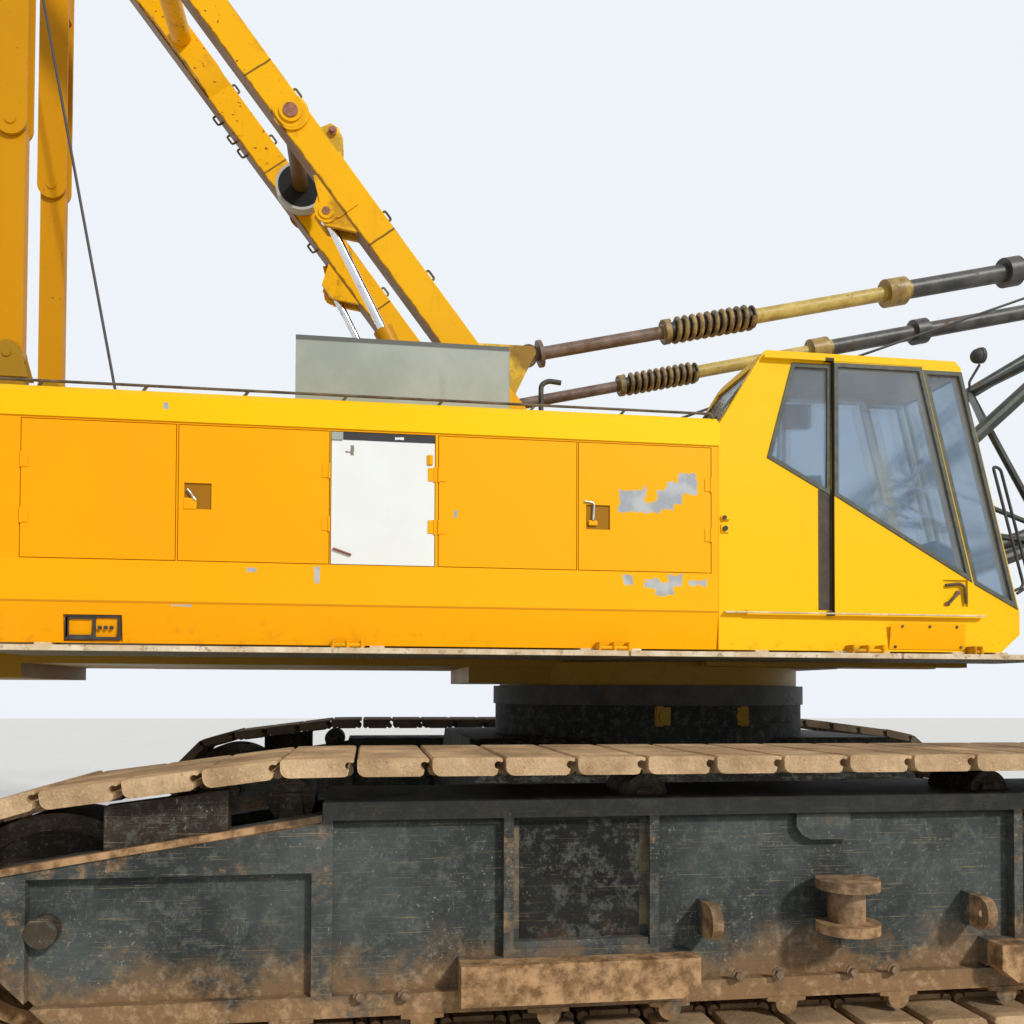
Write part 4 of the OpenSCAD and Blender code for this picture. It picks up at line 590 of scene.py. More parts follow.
lookNodes = {  # what isn't here is a yellow door
    "frame": "side_frame_right side_frame_left", "shoes": "track_right track_left",
    "roller": "track_rollers drive_wheels idler_wheels", "carbody": "carbody", "ring": "slew_ring",
    "deck": "deck_frame", "side": "house_right house_left", "roof": "house_roofs", "walkway": "walkways",
    "weight": "counterweight", "engine": "engine_block", "greySheet": "roof_box", "cab": "cab_shell cab_door",
    "glass": "cab_windows cab_door_glass", "seatCloth": "cab_interior", "white": "right_door_3",
    "gantry": "gantry", "links": "gantry_barrels rear_links_upper rear_links_lower", "rod": "gantry_rods",
    "stopBrown": "backstop_bases", "springs": "backstop_springs", "stopDark": "backstop_tubes",
    "drum": "hoist_drum boom_hoist_drum", "boom": "boom_butt boom_top", "pendants": "pendants",
    "rigging": "head_sheaves hook_block", "spreader": "gantry_spreader",
}
nodeLooks = {name: look for look, names in lookNodes.items() for name in names.split()}
for name, node in frame["nodes"].items():
    node.data.materials.clear()
    node.data.materials.append(looks[nodeLooks.get(name, "door")])

print("stage: modelling tools")


def keepMesh(name, bm, material=None, angle=0):  # shaded smooth over edges up to the angle
    mesh = bpy.data.meshes.new(name)
    bm.to_mesh(mesh)
    bm.free()
    if material:
        mesh.materials.append(material)
    if angle:
        for face in mesh.polygons:
            face.use_smooth = True
        mesh.set_sharp_from_angle(angle=math.radians(angle))
    return mesh


def settle(name, mesh, body):
    piece = bpy.data.objects.new(name, mesh)
    link(piece)
    if body:
        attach(piece, body)
    return piece


def newPiece(name, bm, look, body, angle=40):
    return settle(name, keepMesh(name, bm, looks[look], angle), body)


def addBox(bm, low, high, bevel=0.0):  # a box with its edges rounded by bevel
    low, high = Vector(map(min, low, high)), Vector(map(max, low, high))
    made = bmesh.ops.create_cube(bm, size=1)["verts"]
    bmesh.ops.scale(bm, vec=high - low, verts=made)
    bmesh.ops.translate(bm, vec=(low + high) / 2, verts=made)
    if bevel:
        edges = list({edge for vert in made for edge in vert.link_edges})
        bmesh.ops.bevel(bm, geom=edges, offset=bevel, segments=2, affect="EDGES")


def addPlate(bm, span, y0, y1, bevel=0.0):  # span: x from and to, z from and to
    x0, x1, z0, z1 = span
    addBox(bm, at(x0, y0, z0), at(x1, y1, z1), bevel)


def addTube(bm, start, end, radius, sides=20, bevel=0.0):
    start, end = Vector(start), Vector(end)
    reach = end - start
    made = bmesh.ops.create_cone(bm, cap_ends=True, segments=sides, radius1=radius, radius2=radius,
                                 depth=reach.length)["verts"]
    if bevel:
        edges = {edge for vert in made for edge in vert.link_edges}
        rims = [edge for edge in edges if any(len(face.verts) > 4 for face in edge.link_faces)]
        beveled = bmesh.ops.bevel(bm, geom=rims, offset=bevel, segments=2, affect="EDGES")["verts"]
        made = [vert for vert in {*made, *beveled} if vert.is_valid]
    turn = Vector((0, 0, 1)).rotation_difference(reach).to_matrix()
    bmesh.ops.rotate(bm, cent=(0, 0, 0), matrix=turn, verts=made)
    bmesh.ops.translate(bm, vec=(start + end) / 2, verts=made)


def addPeg(bm, x, z, y0, y1, radius, sides=14):
    addTube(bm, at(x, y0, z), at(x, y1, z), radius, sides)


def addBall(bm, centre, radius, around, along):
    bmesh.ops.create_uvsphere(bm, u_segments=around, v_segments=along, radius=radius,
                              matrix=Matrix.Translation(centre))


def addSkin(bm, loops):  # faces from each closed loop to the next, and from the last to the first
    faces = []
    for near, far in zip(loops, loops[1:] + loops[:1]):
        for i in range(len(near)):
            j = (i + 1) % len(near)
            faces.append(bm.faces.new((near[i], near[j], far[j], far[i])))
    bmesh.ops.recalc_face_normals(bm, faces=faces)


def addRing(bm, start, end, outer, inner, sides=48):  # a flat ring with a bore
    start, end = Vector(start), Vector(end)
    way = (end - start).normalized()
    a = way.orthogonal().normalized()
    b = way.cross(a)
    turns = [2 * math.pi * i / sides for i in range(sides)]
    addSkin(bm, [[bm.verts.new(spot + (a * math.cos(t) + b * math.sin(t)) * radius) for t in turns]
                 for spot, radius in ((start, inner), (start, outer), (end, outer), (end, inner))])


def addSlab(bm, points, shift):  # a flat outline and its copy at a distance
    near = [bm.verts.new(Vector(point)) for point in points]
    far = [bm.verts.new(Vector(point) + Vector(shift)) for point in points]
    faces = [bm.faces.new(near), bm.faces.new(far[::-1])]
    for i in range(len(points)):
        j = (i + 1) % len(points)
        faces.append(bm.faces.new((near[j], near[i], far[i], far[j])))
    bmesh.ops.recalc_face_normals(bm, faces=faces)


def addFrame(bm, outline, outward, out, into, proud, back, soft=0.004):  # a rubber round an opening
    points = [Vector(point) for point in outline]
    outward = Vector(outward).normalized()
    count = len(points)
    spans = [point - points[0] for point in points]
    if sum(spans[i].cross(spans[(i + 1) % count]).dot(outward) for i in range(count)) < 0:
        points.reverse()

    def moved(distance, level):  # distance is positive into the opening
        loop = []
        for i, point in enumerate(points):
            before = (point - points[i - 1]).normalized()
            after = (points[(i + 1) % count] - point).normalized()
            a, b = outward.cross(before), outward.cross(after)
            loop.append(bm.verts.new(point + (a + b) / (1 + a.dot(b)) * distance + outward * level))
        return loop

    addSkin(bm, [moved(distance, level) for distance, level in (
        (-out, -back), (-out, proud - soft), (soft - out, proud),
        (into - soft, proud), (into, proud - soft), (into, -back))])


class Growth:  # a Geometry Nodes tree with named inputs
    def __init__(self, name, **sizes):
        self.tree = bpy.data.node_groups.new(name, "GeometryNodeTree")
        newSocket = self.tree.interface.new_socket
        kinds = {"Geometry": "Geometry", **sizes, "Material": "Material"}
        self.inputs = {key: newSocket(key, in_out="INPUT", socket_type="NodeSocket" + kind).identifier
                       for key, kind in kinds.items()}
        newSocket("Geometry", in_out="OUTPUT", socket_type="NodeSocketGeometry")
        self.given = self.tree.nodes.new("NodeGroupInput").outputs

    def made(self, kind, inputs, output=0, **settings):
        return addNode(self.tree, kind, settings, inputs).outputs[output]

    def attribute(self, name):  # the vector that each point of the seed carries
        return self.made("GeometryNodeInputNamedAttribute", {"Name": name}, data_type="FLOAT_VECTOR")

    def scatter(self, shape, turn):  # the shape on each point of the seed
        return self.close(self.made("GeometryNodeInstanceOnPoints", {
            "Points": self.given["Geometry"], "Instance": shape, "Rotation": turn}))

    def close(self, geometry):
        real = self.made("GeometryNodeRealizeInstances", {0: geometry})
        coated = self.made("GeometryNodeSetMaterial", {"Geometry": real, "Material": self.given["Material"]})
        addNode(self.tree, "NodeGroupOutput", None, {0: coated})
        return self

    def grow(self, name, seedMesh, body, slot, look, **values):  # runs the tree and keeps a plain mesh
        holder = bpy.data.objects.new(name + ".seed", seedMesh)
        link(holder)
        modifier = holder.modifiers.new("growth", "NODES")
        modifier.node_group = self.tree
        for key, value in {**values, "Material": looks[look]}.items():
            modifier[self.inputs[key]] = value
        grown = holder.evaluated_get(bpy.context.evaluated_depsgraph_get())
        mesh = bpy.data.meshes.new_from_object(grown)
        mesh.name = name
        holder.modifiers.clear()
        bpy.data.objects.remove(holder)
        return settle(name, mesh, body)


def boltTree(washerShare=1.55, washerThick=0.008):  # hexagon heads with washers
    growth = Growth("bolts", Radius="Float", Height="Float")
    radius = growth.given["Radius"]
    head = growth.made("GeometryNodeMeshCone", {
        "Vertices": 6, "Radius Top": radius, "Radius Bottom": radius, "Depth": growth.given["Height"]})
    wide = growth.made("ShaderNodeMath", {0: radius, 1: washerShare}, operation="MULTIPLY")
    washer = growth.made("GeometryNodeMeshCylinder", {"Vertices": 12, "Radius": wide, "Depth": washerThick})
    both = addNode(growth.tree, "GeometryNodeJoinGeometry")
    for part in (head, washer):
        growth.tree.links.new(part, both.inputs[0])
    turn = growth.made("FunctionNodeAlignRotationToVector", {"Vector": growth.attribute("facing")}, axis="Z")
    return growth.scatter(both.outputs[0], turn)


def sweepTree():  # a round tube along the seed's edges
    growth = Growth("sweep", Radius="Float", Sides="Int")
    path = growth.made("GeometryNodeMeshToCurve", {0: growth.given["Geometry"]})
    ring = growth.made("GeometryNodeCurvePrimitiveCircle", {
        "Resolution": growth.given["Sides"], "Radius": growth.given["Radius"]})
    tube = growth.made("GeometryNodeCurveToMesh", {"Curve": path, "Profile Curve": ring, "Fill Caps": True})
    return growth.close(growth.made("GeometryNodeSetShadeSmooth", {"Geometry": tube}))


def chainTree():  # copies of one shape, each turned by its point's own angles
    growth = Growth("chain", Shape="Object")
    shape = growth.made("GeometryNodeObjectInfo", {"Object": growth.given["Shape"]}, "Geometry",
                        transform_space="ORIGINAL")
    return growth.scatter(shape, growth.made("FunctionNodeEulerToRotation", {0: growth.attribute("angles")}))


boltGrowth, sweepGrowth, chainGrowth = boltTree(), sweepTree(), chainTree()


def pointSeed(name, key, spots):  # spots: a place and a vector kept under the key
    mesh = bpy.data.meshes.new(name + ".points")
    mesh.from_pydata([spot for spot, _ in spots], [], [])
    kept = mesh.attributes.new(key, "FLOAT_VECTOR", "POINT")
    for index, (_, value) in enumerate(spots):
        kept.data[index].vector = value
    return mesh


def bolts(name, body, slot, spots, radius, height, look):  # spots: place, facing
    boltGrowth.grow(name, pointSeed(name, "facing", spots), body, slot, look, Radius=radius, Height=height)


def sweep(name, body, slot, paths, radius, look, sides=10, bend=0.0):  # paths: lists of points
    verts, edges = [], []
    for path in paths:
        points = rounded(path, bend) if bend else path
        first = len(verts)
        verts += points
        edges += [(first + i, first + i + 1) for i in range(len(points) - 1)]
    mesh = bpy.data.meshes.new(name + ".path")
    mesh.from_pydata(verts, edges, [])
    return sweepGrowth.grow(name, mesh, body, slot, look, Radius=radius, Sides=sides)


def rounded(points, bend, steps=6):  # the path with its corners as arcs
    result = [points[0]]
    for before, corner, after in zip(points, points[1:], points[2:]):
        a, b = before - corner, after - corner
        cut = min(bend, a.length * 0.45, b.length * 0.45)
        p, q = corner + a.normalized() * cut, corner + b.normalized() * cut
        for t in (i / steps for i in range(steps + 1)):
            result.append(p * (1 - t) ** 2 + corner * (2 * t * (1 - t)) + q * t * t)
    return [*result, points[-1]]


def line(start, end, count):
    return [start.lerp(end, i / (count - 1)) for i in range(count)]


print("stage: tracks")

trackFacts = {
    "wheelBase": 8.7, "turnRadius": 0.72, "topX": 3.13, "topZ": 1.6, "pitch": 0.392, "outerY": 4.1,
    "width": 1.22, "gap": 0.026, "thick": 0.096, "round": 0.045, "notch": 0.022, "lip": 0.018,
    "linkWidth": 0.52, "linkDepth": 0.124, "linkHalf": 0.62,  # the last is a share of half a shoe
    "knuckleAt": 0.84, "knuckleWide": 0.13, "knuckleIn": 0.034, "knuckle": 0.033,
}


class TrackPath:  # the loop of the track, from the front end of the ground run and up
    def __init__(self, facts):
        self.end, radius = facts["wheelBase"] / 2, facts["turnRadius"]
        topX, rise = facts["topX"], facts["topZ"] - radius
        reach = math.hypot(self.end - topX, rise)
        wrap = math.pi + math.asin(radius / reach) - math.atan2(rise, self.end - topX)
        slope, bend = math.sqrt(reach ** 2 - radius ** 2), 1 / radius
        self.stretches = ((radius * wrap, 0, bend), (slope, wrap, 0), (2 * topX, math.pi, 0),
                          (slope, -wrap, 0), (radius * wrap, -wrap, bend), (2 * self.end, 0, 0))
        self.length = sum(long for long, _, _ in self.stretches)

    def spot(self, s):  # the place at a distance along the loop
        s %= self.length
        x, z = self.end, 0.0
        for long, heading, bend in self.stretches:
            step = min(s, long)
            if bend:
                x += (math.sin(heading + step * bend) - math.sin(heading)) / bend
                z += (math.cos(heading) - math.cos(heading + step * bend)) / bend
            else:
                x += step * math.cos(heading)
                z += step * math.sin(heading)
            s -= step
            if s <= 0:
                break
        return x, z


def makeShoe(facts, pitch):  # one shoe at the origin: x along the track, z inwards from the ground side
    half = (pitch - facts["gap"]) / 2
    thick, r, n, lip = (facts[key] for key in ("thick", "round", "notch", "lip"))
    outline = [(-half + 0.012, 0.0), (half - 0.010, 0.0), (half, 0.010)]
    for a in (math.radians(18 * i) for i in range(6)):
        outline.append((half - r + r * math.cos(a), thick - r + r * math.sin(a)))
    outline += [(-half + 0.040, thick), (-half + 0.024, thick - 0.008)]
    for a in (math.radians(90 - 30 * i) for i in range(7)):
        outline.append((-half + 0.016 + n * math.cos(a), lip + n + n * math.sin(a)))
    outline += [(-half - 0.002, lip + 0.006), (-half - 0.009, lip - 0.002), (-half - 0.006, 0.004)]
    bm = bmesh.new()
    width, wide, deep = facts["width"], facts["linkWidth"] / 2, facts["linkDepth"]
    addSlab(bm, [(x, -width / 2, z) for x, z in outline], (0, width, 0))
    linkHalf, z = half * facts["linkHalf"], deep - facts["knuckleIn"]
    addBox(bm, (-linkHalf, -wide, thick - 0.02), (linkHalf, wide, deep))
    for x in (-half * facts["knuckleAt"], half * facts["knuckleAt"]):
        for y0, y1 in ((-wide, -wide + facts["knuckleWide"]), (wide - facts["knuckleWide"], wide)):
            addTube(bm, (x, y0, z), (x, y1, z), facts["knuckle"], 10)
    return bpy.data.objects.new("shoe.shape", keepMesh("shoe", bm, None, 32))


def makeTracks(facts):
    path = TrackPath(facts)
    count = round(path.length / facts["pitch"])
    pitch = path.length / count
    shoe = makeShoe(facts, pitch)
    link(shoe)
    for side, way in sideWays.items():
        y = way * (facts["outerY"] - facts["width"] / 2)
        spots = []
        for i in range(count):
            (x0, z0), (x1, z1), (x2, z2) = (path.spot((i + share) * pitch) for share in (0, 0.5, 1))
            heading = math.atan2(z2 - z0, x2 - x0)
            sag = 0.5 * math.hypot(x1 - (x0 + x2) / 2, z1 - (z0 + z2) / 2)
            x = (x0 + x2) / 2 + math.sin(heading) * sag
            z = max((z0 + z2) / 2 - math.cos(heading) * sag, abs(math.sin(heading)) * pitch / 2)
            spots.append((at(x, y, z), (0, -heading, 0)))
        piece = chainGrowth.grow(f"trackShoes.{side}", pointSeed("track." + side, "angles", spots),
                                 "undercarriage", "shoe_dust", "shoes", Shape=shoe)
        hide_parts(f"track_{side}")
    bpy.data.objects.remove(shoe)


makeTracks(trackFacts)

print("stage: roof")

roofFacts = {
    "rear": -5.75, "front": {"right": -0.02, "left": 0.88}, "height": 4.168, "foot": 4.10, "frontFoot": 4.09,
    "out": 1.93, "radius": 0.011, "posts": 9, "lean": 0.06, "pipeY": -1.3, "pipeRadius": 0.022,
    "pipe": ((-1.292, 4.10), (-1.292, 4.536), (-1.232, 4.574), (-1.121, 4.563)),
    "bracketsY": -1.5, "brackets": (-1.56, -1.38, -1.17),
    "bracket": ((0.03, 0.02, 4.19, 0.006), (0.045, 0.04, 4.136, 0.003)), "bracketZ": 4.12,
}


def roofTrim(facts):
    rear, foot, high = facts["rear"], facts["foot"], facts["height"]
    for side, way in sideWays.items():
        front, y = facts["front"][side], way * facts["out"]
        paths = [upright(((rear, foot), (rear, high), (front, high), (front, facts["frontFoot"])), y)]
        for spot in line(Vector((rear, 0, 0)), Vector((front, 0, 0)), facts["posts"])[1:-1]:
            paths.append([at(spot.x - facts["lean"], y - way * 0.02, foot), at(spot.x, y, high)])
        sweep(f"roofRail.{side}", "upper", "body_yellow", paths, facts["radius"], "railSteel", 8, bend=0.03)
    pipe = upright(facts["pipe"], facts["pipeY"])
    sweep("roofPipe", "upper", "rigging_black", [pipe], facts["pipeRadius"], "rigging", 14, bend=0.06)
    bm, y = bmesh.new(), facts["bracketsY"]
    for x in facts["brackets"]:
        for long, wide, top, bevel in facts["bracket"]:
            addPlate(bm, (x - long, x + long, facts["bracketZ"], top), y - wide, y + wide, bevel)
    newPiece("roofBrackets", bm, "gantry", "upper", 0)


roofTrim(roofFacts)

print("stage: side doors")

doorFacts = {
    "edges": {1: (-5.155, -4.095, -1), 2: (-4.085, -3.005, 1), 3: (-3.0, -2.225, 1),
              4: (-2.205, -1.135, -1), 5: (-1.128, -0.055, 1)},  # rear edge, front edge, side of the hinge
    "hinges": (3.185, 3.58), "hinge": (0.006, 0.05, 0.05, 0.006),  # in, wide, half high, thick
    "knuckle": (0.009, 0.055, 0.004), "leverOut": 0.006, "lever": 0.010,  # radius, half high, out
    "levers": {2: ((-4.017, 3.408), (-3.998, 3.385), (-3.959, 3.327)),
               5: ((-1.078, 3.419), (-1.001, 3.408), (-1.009, 3.273))},
    "tabs": {2: (-4.046, -3.952, 3.262, 3.345), 5: (-1.045, -0.975, 3.235, 3.275)},
    "rod": ((-2.980, 3.004), (-2.847, 2.959)), "rodRadius": 0.009,
    "panelHinge": (-2.290, -2.245, 3.65, 3.728),
    "panelPin": (-2.268, 3.655, 3.722), "panelPatch": (-2.997, -2.913, 3.81, 3.872),
}


def doorFittings(facts):
    inset, wide, high, thick = facts["hinge"]
    radius, half, out = facts["knuckle"]
    for side, way in sideWays.items():
        for index, (rear, front, hingeSide) in facts["edges"].items():
            if side == "left" and index == 3:
                continue
            body, y, bm = f"{side}_door_{index}", way * houseY, bmesh.new()
            x = rear + inset if hingeSide < 0 else front - inset
            for z in facts["hinges"]:
                addPlate(bm, (x, x - hingeSide * wide, z - high, z + high), y, y + way * thick, 0.002)
                low, top = upright(((x, z - half), (x, z + half)), y + way * out)
                addTube(bm, low, top, radius, 12)
            if index in facts["tabs"]:
                addPlate(bm, facts["tabs"][index], y - way * 0.004, y + way * 0.007, 0.004)
            newPiece(f"doorFittings.{side}.{index}", bm, "door", body)
            if index in facts["levers"]:
                path = upright(facts["levers"][index], y + way * facts["leverOut"])
                sweep(f"doorLever.{side}.{index}", body, "machined_steel", [path], facts["lever"], "bright",
                      bend=0.02)
    rod = upright(facts["rod"], -houseY - 0.012)
    sweep("panelRod", "right_door_3", "machined_steel", [rod], facts["rodRadius"], "rustyPin")
    bm, y = bmesh.new(), -houseY - 0.010
    addPlate(bm, facts["panelHinge"], y, -houseY, 0.004)
    x, z0, z1 = facts["panelPin"]
    addTube(bm, at(x, y, z0), at(x, y, z1), 0.010, 14)
    newPiece("panelHinge", bm, "door", "right_door_3")
    bm = bmesh.new()
    addPlate(bm, facts["panelPatch"], y, -houseY, 0.004)
    newPiece("panelPatch", bm, "greySheet", "right_door_3", 0)


doorFittings(doorFacts)

print("stage: lower side")

skirtFacts = {
    "inset": (-4.85, -4.47, 2.31, 2.49), "glass": (-4.83, -4.66, 2.342, 2.462), "insetY": (-1.955, -1.975),
    "knobs": (-4.615, -4.575, -4.535), "knobZ": 2.40, "knob": 0.013,
    "access": (1.467, 2.128, 2.31, 2.515), "accessThick": 0.005,
    "heads": ((1.567, 2.495), (1.807, 2.495), (2.047, 2.495), (1.517, 2.33), (2.098, 2.33)),
    "skirtIn": 0.045, "skirtZ": (2.29, 2.585), "lugStep": 0.075, "lugY": -2.075, "lugPinY": -2.045,
    "lugs": ((-2.97, -2.76), (-0.97, -0.735), (1.10, 1.36), (2.16, 2.22)), "lugZ": (2.245, 2.335),
    "lugThick": 0.022, "lugPin": 0.016,
}


def skirtY(z, facts):  # the lower side leans in towards its bottom
    low, high = facts["skirtZ"]
    return -houseY + facts["skirtIn"] * (high - z) / (high - low)


def lowerSide(facts):
    back, front = facts["insetY"]
    bm = bmesh.new()
    for key, out, into in (("inset", 0.0, 0.022), ("glass", 0.016, 0.004)):
        addFrame(bm, upright(corners(*facts[key]), front), (0, -1, 0), out, into, 0.0, 0.02, 0.003)
    for x in facts["knobs"]:
        addPeg(bm, x, facts["knobZ"], back, front, facts["knob"])
    newPiece("skirtInset", bm, "blackTrim", "upper", 0)
    low, high = facts["skirtZ"]
    lean = Vector((0, low - high, -facts["skirtIn"])).normalized()
    bm = bmesh.new()
    outline = [at(x, skirtY(z, facts), z) for x, z in corners(*facts["access"])]
    addSlab(bm, outline, lean * facts["accessThick"])
    newPiece("accessPanel", bm, "side", "upper", 0)
    heads = [(at(x, skirtY(z, facts), z) + lean * 0.007, lean) for x, z in facts["heads"]]
    bolts("accessBolts", "upper", "machined_steel", heads, 0.008, 0.008, "frameBolt")
    bm = bmesh.new()
    z0, z1 = facts["lugZ"]
    half, y, z = facts["lugThick"] / 2, facts["lugPinY"], (z0 + z1) / 2
    for start, end in facts["lugs"]:
        count = max(2, round((end - start) / facts["lugStep"]))
        for x in (start + (end - start) * i / (count - 1) for i in range(count)):
            addPlate(bm, (x - half, x + half, z0, z1), facts["lugY"], skirtY(z0, facts), 0.005)
        addTube(bm, at(start - 0.02, y, z), at(end + 0.02, y, z), facts["lugPin"], 14)
    newPiece("walkwayLugs", bm, "gantry", "upper")


lowerSide(skirtFacts)

print("stage: cab")

cabFacts = {
    "sideY": (-1.955, -1.02), "doorY": -1.996,
    "rubber": (0.022, 0.015, 0.009, 0.010),  # out, into the opening, proud, back
    "rear": ((0.45, 3.842), (0.945, 3.578), (0.955, 4.59), (0.654, 4.587)),
    "quarter": ((2.242, 2.87), (2.59, 2.69), (2.11, 4.59), (1.8, 4.59)),
    "door": ((1.0, 3.55), (2.15, 2.905), (1.728, 4.595), (1.0, 4.592)),
    "screen": ((2.64, 2.635), (2.12, 4.65)), "screenY": (-1.865, -1.11), "screenZ": (2.735, 4.59),
    "tail": ((0.05, 4.18), (0.35, 4.555)),
    "strip": (0.86, 0.975, 2.617, 3.59), "shadeStripOut": 0.003, "doorRail": (0.06, 2.30, 2.580, 2.594),
    "doorRailOut": 0.050, "buttons": ((0.062, 3.335, 0.017), (0.070, 3.250, 0.020)), "buttonOut": 0.030,
    "latch": (((0.036, 0.104, 3.215, 3.285), 0.012, 0.004), ((0.036, 0.110, 3.315, 3.352), 0.022, 0.006)),
    "grabRail": ((2.60, 2.80), (2.725, 2.849), (2.447, 3.857), (2.517, 3.837), (2.785, 2.865), (2.66, 2.79)),
    "railY": -1.9, "railRadius": 0.0125, "lamp": (2.318, 4.779), "lampSize": 0.062,
    "lampRim": (0.066, 0.050), "lampArm": ((2.333, 4.706), (2.237, 4.555), (2.242, 4.482)),
    "armRadius": 0.011, "leverRadius": 0.012, "pipeRadius": 0.014,
    "lock": (1.945, 1.985, 2.665, 2.70), "lockPeg": (2.06, 2.775), "lockPegSize": 0.020,
    "lever": (((1.944, 2.835), (2.075, 2.850), (2.112, 2.825), (2.128, 2.684)),
              ((2.06, 2.775), (1.965, 2.682))),
    "board": ((0.832, 4.436), (1.052, 4.447), (1.051, 4.229), (0.813, 4.218)), "boardY": -1.45,
    "pipes": (((1.56, 3.60), (1.864, 3.447)), ((1.688, 3.635), (2.171, 3.411)),
              ((1.98, 3.946), (1.881, 3.672)), ((1.689, 3.784), (2.043, 3.678))),
    "pipesY": -1.6, "knobs": ((1.881, 3.672), (1.98, 3.946)), "knobSize": 0.030,
}


def cabRubbers(facts):
    bm = bmesh.new()
    for y, way in zip(facts["sideY"], (-1, 1)):
        for key in ("rear", "quarter"):
            addFrame(bm, upright(facts[key], y), (0, way, 0), *facts["rubber"])
    (x0, z0), (x1, z1) = facts["screen"]
    (y0, y1), (low, high) = facts["screenY"], facts["screenZ"]
    outline = [at(x0 + (x1 - x0) * (z - z0) / (z1 - z0), y, z)
               for y, z in ((y0, low), (y1, low), (y1, high), (y0, high))]
    addFrame(bm, outline, (z1 - z0, 0, x0 - x1), *facts["rubber"])
    (x0, z0), (x1, z1) = facts["tail"]
    outline = [at(x0, y0, z0), at(x0, y1, z0), at(x1, y1, z1), at(x1, y0, z1)]
    addFrame(bm, outline, (z0 - z1, 0, x1 - x0), *facts["rubber"])
    newPiece("cabRubbers", bm, "rubber", "upper", 25)
    bm = bmesh.new()
    addFrame(bm, upright(facts["door"], facts["doorY"]), (0, -1, 0), *facts["rubber"])
    newPiece("doorRubber", bm, "rubber", "cab_door", 25)


def cabTrim(facts):
    y, railY, doorY = facts["sideY"][0], facts["railY"], facts["doorY"]
    bm = bmesh.new()
    # a brown strip on the cab wall beside the door: painted shade standing in for a recess
    addPlate(bm, facts["strip"], y - facts["shadeStripOut"], y, 0.001)
    for x, z, radius in facts["buttons"]:
        addPeg(bm, x, z, y - facts["buttonOut"], y, radius)
    newPiece("cabStrips", bm, "brownButtonsAndShadeStrip", "upper", 0)
    bm = bmesh.new()
    for span, out, bevel in facts["latch"]:
        addPlate(bm, span, y - out, y, bevel)
    newPiece("cabLatch", bm, "cab", "upper", 0)
    bm = bmesh.new()
    addPlate(bm, facts["doorRail"], y - facts["doorRailOut"], y, 0.003)
    newPiece("doorRail", bm, "walkway", "upper", 0)
    rail, arm = upright(facts["grabRail"], railY), upright(facts["lampArm"], railY)
    sweep("cabGrabRail", "upper", "cab_trim", [rail], facts["railRadius"], "blackTrim", 12, bend=0.05)
    bm = bmesh.new()
    x, z = facts["lamp"]
    addBall(bm, at(x, railY, z), facts["lampSize"], 24, 16)
    addRing(bm, at(x + 0.012, railY, z + 0.003), at(x + 0.040, railY, z + 0.008), *facts["lampRim"], 28)
    newPiece("cabLamp", bm, "blackTrim", "upper")
    sweep("cabLampArm", "upper", "cab_trim", [arm], facts["armRadius"], "blackTrim", bend=0.02)
    bm = bmesh.new()
    addPlate(bm, facts["lock"], doorY - 0.004, doorY + 0.010, 0.004)
    addPeg(bm, *facts["lockPeg"], doorY + 0.012, doorY - 0.006, facts["lockPegSize"], 16)
    newPiece("cabDoorLock", bm, "rustyPin", "cab_door")
    lever = [upright(path, doorY - 0.004) for path in facts["lever"]]
    sweep("cabDoorLever", "cab_door", "machined_steel", lever, facts["leverRadius"], "railSteel", 12,
          bend=0.02)


def cabInside(facts):
    bm = bmesh.new()
    addSlab(bm, upright(facts["board"], facts["boardY"]), (0, 0.02, 0))
    newPiece("cabBoard", bm, "board", "upper", 0)
    pipes = [upright(pipe, facts["pipesY"]) for pipe in facts["pipes"]]
    sweep("cabPipes", "upper", "machined_steel", pipes, facts["pipeRadius"], "bright")
    bm = bmesh.new()
    for spot in upright(facts["knobs"], facts["pipesY"]):
        addBall(bm, spot, facts["knobSize"], 14, 10)
    newPiece("leverKnobs", bm, "blackTrim", "upper")


cabRubbers(cabFacts)
cabTrim(cabFacts)
cabInside(cabFacts)

print("stage: gantry")

gantryFacts = {  # places on the struts are u along them and v towards their lower side
    "half": 0.10, "depth": 0.14, "hookOut": 0.055, "hookLong": 0.09, "hookRadius": 0.011,
    "rings": ((0.155, 0.022), (0.095, 0.045)), "pin": (0.062, 0.058),  # radius, how far out
    "hooks": ((-1, -1, (5.364, 4.084, 3.453)), (1, -1, (6.569, 5.955, 4.061)),
              (1, 1, (6.405, 6.174, 6.007, 4.837))),  # side, upper or lower face, places along the strut
    "bracket": ((5.06, -0.135), (5.04, -0.255), (4.97, -0.290), (4.87, -0.265), (4.79, -0.205),
                (4.76, -0.135)), "bracketY": (-0.80, -0.64), "bracketThick": 0.03,
    "bracketBolt": (4.965, -0.225), "boltY": (-0.83, -0.58), "boltRadius": 0.032,
    "web": (6.62, 6.78, 7.55, 7.75), "webHigh": 0.10, "webHalf": 0.125,
    "tube": (7.20, 0.01), "tubeRadius": 0.10,
    "lug": ((4.71, 0.17), (4.61, -0.045), (4.306, 0.0), (4.296, 0.20)), "lugThick": 0.014,
    "eye": (4.401, 0.266), "eyeRadius": 0.098, "eyeRing": (0.066, 0.030, 0.012), "eyePin": (0.034, 0.020),
}


def onStrut(u, v, y):
    spot = strutFoot + strutWay * u + strutDown * v
    return Vector((spot.x, y, spot.z))


def outwards(way, distance):
    return Vector((0, way * distance, 0))


